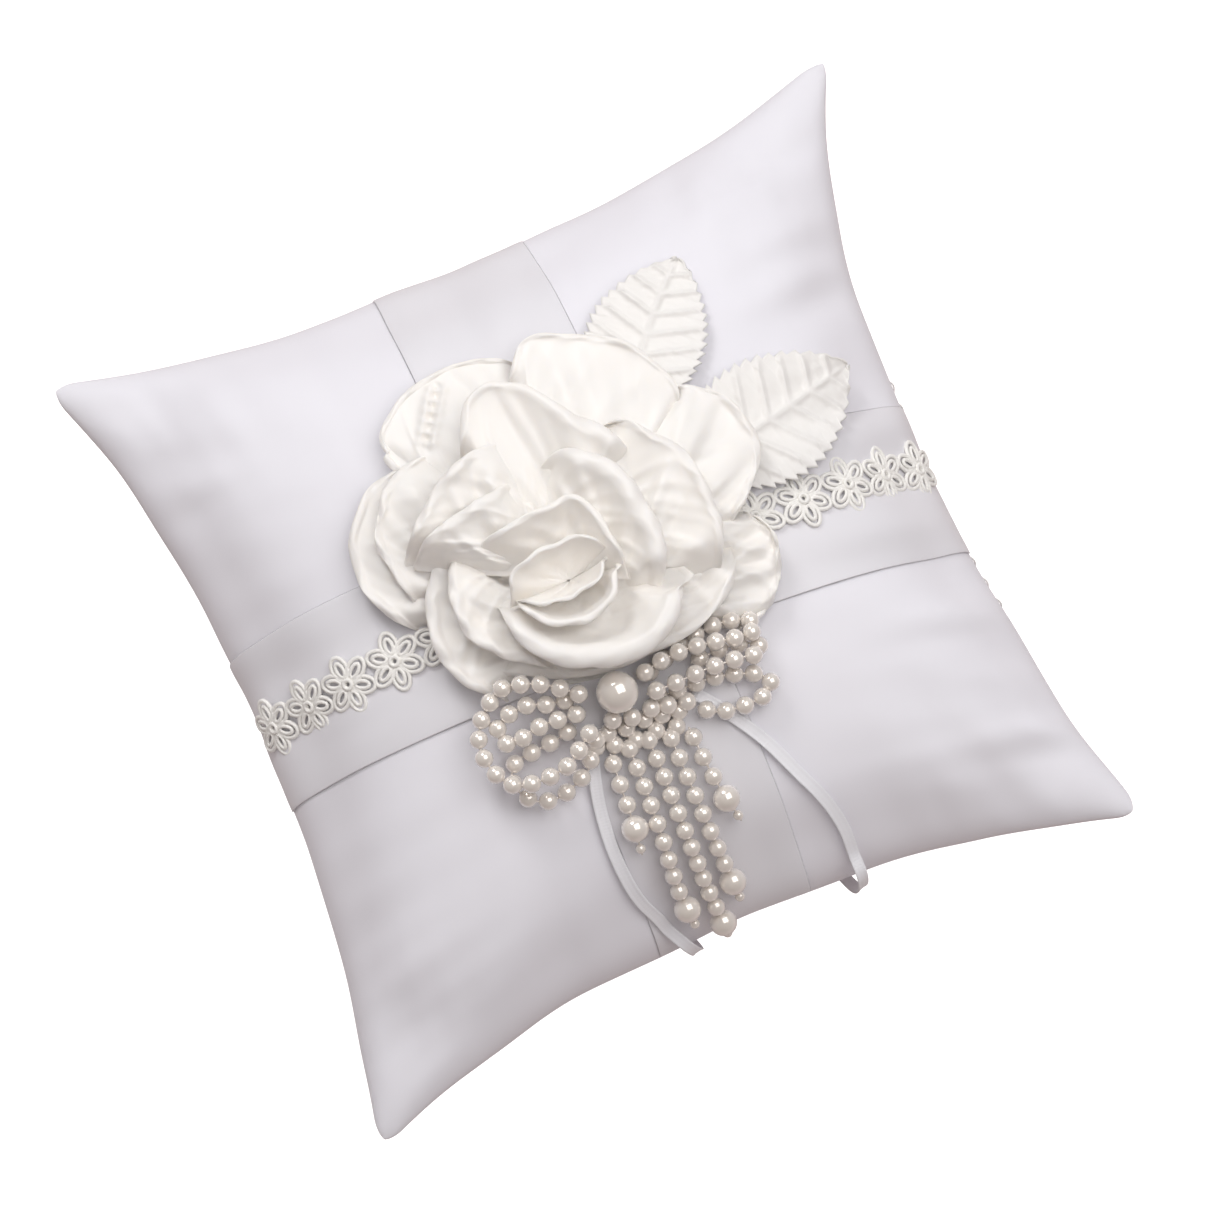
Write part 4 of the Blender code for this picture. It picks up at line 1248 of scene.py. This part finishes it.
pearlTails = {
    "pearl_tail_1": [(-15, -42), (-15.8, -50), (-16.6, -58), (-17.8, -65)],
    "pearl_tail_2": [(-10.4, -40.5), (-10.5, -50), (-10.9, -62), (-11.4, -72), (-11.2, -84)],
    "pearl_tail_3": [(-5.6, -40.5), (-5.5, -50), (-5.8, -62), (-5.8, -74), (-4.8, -87)],
    "pearl_tail_4": [(-0.8, -42), (-0.8, -50), (-0.8, -60), (-0.4, -70), (1.2, -83)],
    "pearl_tail_5": [(4, -43.5), (4.4, -51), (5.2, -59), (6.6, -67)],
}

# single beads sewn on below the knot: plan place and height, in mm
bowCluster = [
    (-17.4, -39.4, 3.4), (-13.2, -40.6, 3), (-8, -41.6, 2.9), (-3.2, -41.4, 2.9), (1.6, -42.4, 2.9),
    (-13.6, -37.6, 3.6), (-9.2, -38.2, 3.4), (-4.7, -38, 3.4), (-0.6, -38.6, 3.4), (3.4, -39.3, 3.4),
    (-11.6, -35.2, 7), (-7, -36.4, 6.6), (-2.6, -36.2, 6.6), (1.4, -37, 6.2), (5.6, -38, 5.4),
]


def overPillow(places, samples=60):
    smooth = smoothRoute([Vector(place) * mm for place in places], samples)
    return [onPillow(point.x, point.y, point.z)[0] for point in smooth]


def addBead(bm, centre, along, radius, fine=False):
    turned = along.to_track_quat("Z", "Y").to_matrix().to_4x4()
    columns, rows = (28, 18) if fine else (14, 9)
    bmesh.ops.create_uvsphere(bm, u_segments=columns, v_segments=rows, radius=radius,
                              matrix=Matrix.Translation(centre) @ turned)


def strandMesh(route, lastBeads=()):
    fine = smoothRoute(route, 240)
    lengths = runLengths(fine)
    tail = sum(lastBeads)
    count = int((lengths[-1] - tail) / pearls["pitch"])
    sizes = [pearls["bead"]] * count + list(lastBeads)
    slack = (lengths[-1] - count * pearls["pitch"] - tail) / len(sizes)
    bm = bmesh.new()
    start = 0.0
    for size in sizes:
        room = (pearls["pitch"] if size == pearls["bead"] else size) + slack
        middle = start + room / 2
        centre = pointAt(fine, lengths, middle)
        along = pointAt(fine, lengths, middle + 0.5 * mm) - pointAt(fine, lengths, middle - 0.5 * mm)
        addBead(bm, centre, along, size / 2, size == pearls["end"])
        start += room
    addTube(bm, [pointAt(fine, lengths, lengths[-1] * k / 60) for k in range(61)], pearls["thread"], 5)
    return bm


def makePearls(finish, threadFinish):
    for name, route in pearlLoops.items():
        places = [(x, y, pearls["lowest"] + layer * pearls["pitch"] / mm) for x, y, layer in route]
        addPiece(pieceName(name), strandMesh(overPillow(places)), finish, (name,))
    for name, route in pearlTails.items():
        first = pearls["bead"] / 2 / mm + pearls["rest"]
        last = pearls["end"] / 2 / mm + pearls["rest"]
        steps = len(route) - 1
        places = overPillow([(x, y, first + (last - first) * k / steps) for k, (x, y) in enumerate(route)])
        strand = strandMesh(places, (pearls["end"], pearls["seed"]))
        addPiece(pieceName(name), strand, finish, (name,), name)
    bm = bmesh.new()
    for x, y, lift in bowCluster:
        addBead(bm, onPillow(x * mm, y * mm, lift * mm)[0], Vector((0.4, 1, 0)), pearls["bead"] / 2)
    addPiece("bowCluster", bm, finish)
    x, y = knot["centre"][0] * mm, knot["centre"][1] * mm
    radius = knot["radius"] * mm
    top = (knot["foot"] + knot["height"] + knot["gap"]) * mm + pearls["centre"] / 2
    bm = bmesh.new()
    bmesh.ops.create_icosphere(bm, subdivisions=4, radius=pearls["centre"] / 2,
                               matrix=Matrix.Translation(abovePillow(x, y, top)))
    addPiece("centrePearl", bm, finish, ("centre_pearl",))
    bm = bmesh.new()
    for k in range(knot["wraps"]):
        high = (knot["foot"] + knot["height"] * (k + 0.5) / knot["wraps"]) * mm
        around = abovePillow(x, y, high)
        ring = []
        for step in range(20):
            turn = 2 * math.pi * step / 20
            tilt = knot["tilt"] * math.sin(turn + knot["tiltStep"] * k)
            ring.append(around + Vector((radius * math.cos(turn), radius * math.sin(turn), tilt)))
        addTube(bm, ring, knot["thread"], 6, closed=True)
    addPiece("bowKnot", bm, threadFinish, ("bow_knot",))
    print("pearls made")


# ---- tie ribbons

ribbon = dict(width=3 * mm, cloth=0.3 * mm, lift=1.5, points=96, edge=0.12 * mm)
tieRibbons = {
    "right_tie_ribbon": (
        [
            (8, -36.5), (11.5, -40.8), (15.5, -46.5), (19.5, -53), (23.5, -61.5), (27.5, -71), (29.8, -79),
            (30.4, -85),
        ],
        [
            (30.4, -89.6, 38), (30.2, -91.2, 29), (29.6, -88.5, 18), (29, -81, 7), (31, -76, 2.1),
            (38, -71, 2.1), (47, -70, 2.1), (56, -73, 2.1), (65, -77, 2.1), (75, -80, 2.1), (86, -80, 2.1),
        ],
    ),
    "left_tie_ribbon": (
        [
            (-15, -35.5), (-18.4, -40.5), (-20.4, -46), (-22, -53), (-22.8, -62), (-22.3, -71), (-21, -78),
            (-17.8, -84),
        ],
        [
            (-14.6, -88.6, 37), (-12.4, -89.6, 29), (-12, -86.5, 19), (-13.4, -80, 8), (-19, -76, 2.1),
            (-27, -71, 2.1), (-36, -70, 2.1), (-45, -72, 2.1), (-54, -76, 2.1), (-64, -79, 2.1),
            (-76, -80, 2.1), (-86, -79, 2.1),
        ],
    ),
}


def makeRibbons(finish):
    for name, (upper, lower) in tieRibbons.items():
        route = overPillow([(x, y, ribbon["lift"]) for x, y in upper], 24)
        route += [Vector(point) * mm for point in lower]
        line = smoothRoute(route, ribbon["points"])
        square = onPillow(line[0].x, line[0].y, 0)[1]
        squares = []
        for k, point in enumerate(line):
            along = (line[min(k + 1, len(line) - 1)] - line[max(k - 1, 0)]).normalized()
            square = (square - along * square.dot(along)).normalized()
            squares.append(square)

        def place(share, a):
            k = min(int(round(share * (len(line) - 1))), len(line) - 1)
            along = (line[min(k + 1, len(line) - 1)] - line[max(k - 1, 0)]).normalized()
            aside = squares[k].cross(along).normalized()
            return line[k] + aside * a * ribbon["width"] / 2 + squares[k] * ribbon["edge"] * (abs(a) > 0.7)

        length = runLengths(line)[-1]
        bm = bmesh.new()
        addGrid(bm, ribbon["points"] - 1, 8, place, length, ribbon["width"])
        piece = addPiece(pieceName(name), bm, finish, (name,), wall=ribbon["cloth"], offset=0)
        tuple(line[0])
        [tuple(point) for point in line]
        print(name, "%.1f mm long" % (length / mm))


def main():
    makeCamera()
    makeStudio()
    runCloth()
    made = makeMaterials()
    makeRibbons(made["ribbon"])
    makeCover(made["cover"])
    makeFilling(made["fibre"])
    makeClosingStitch(made["thread"])
    makeSashes(made["sash"])
    makeDaisyLace(made["lace"])
    makeRose(made["rose"], made["felt"])
    makeLeaves(made["leaf"])
    makePearls(made["pearl"], made["thread"])


main()
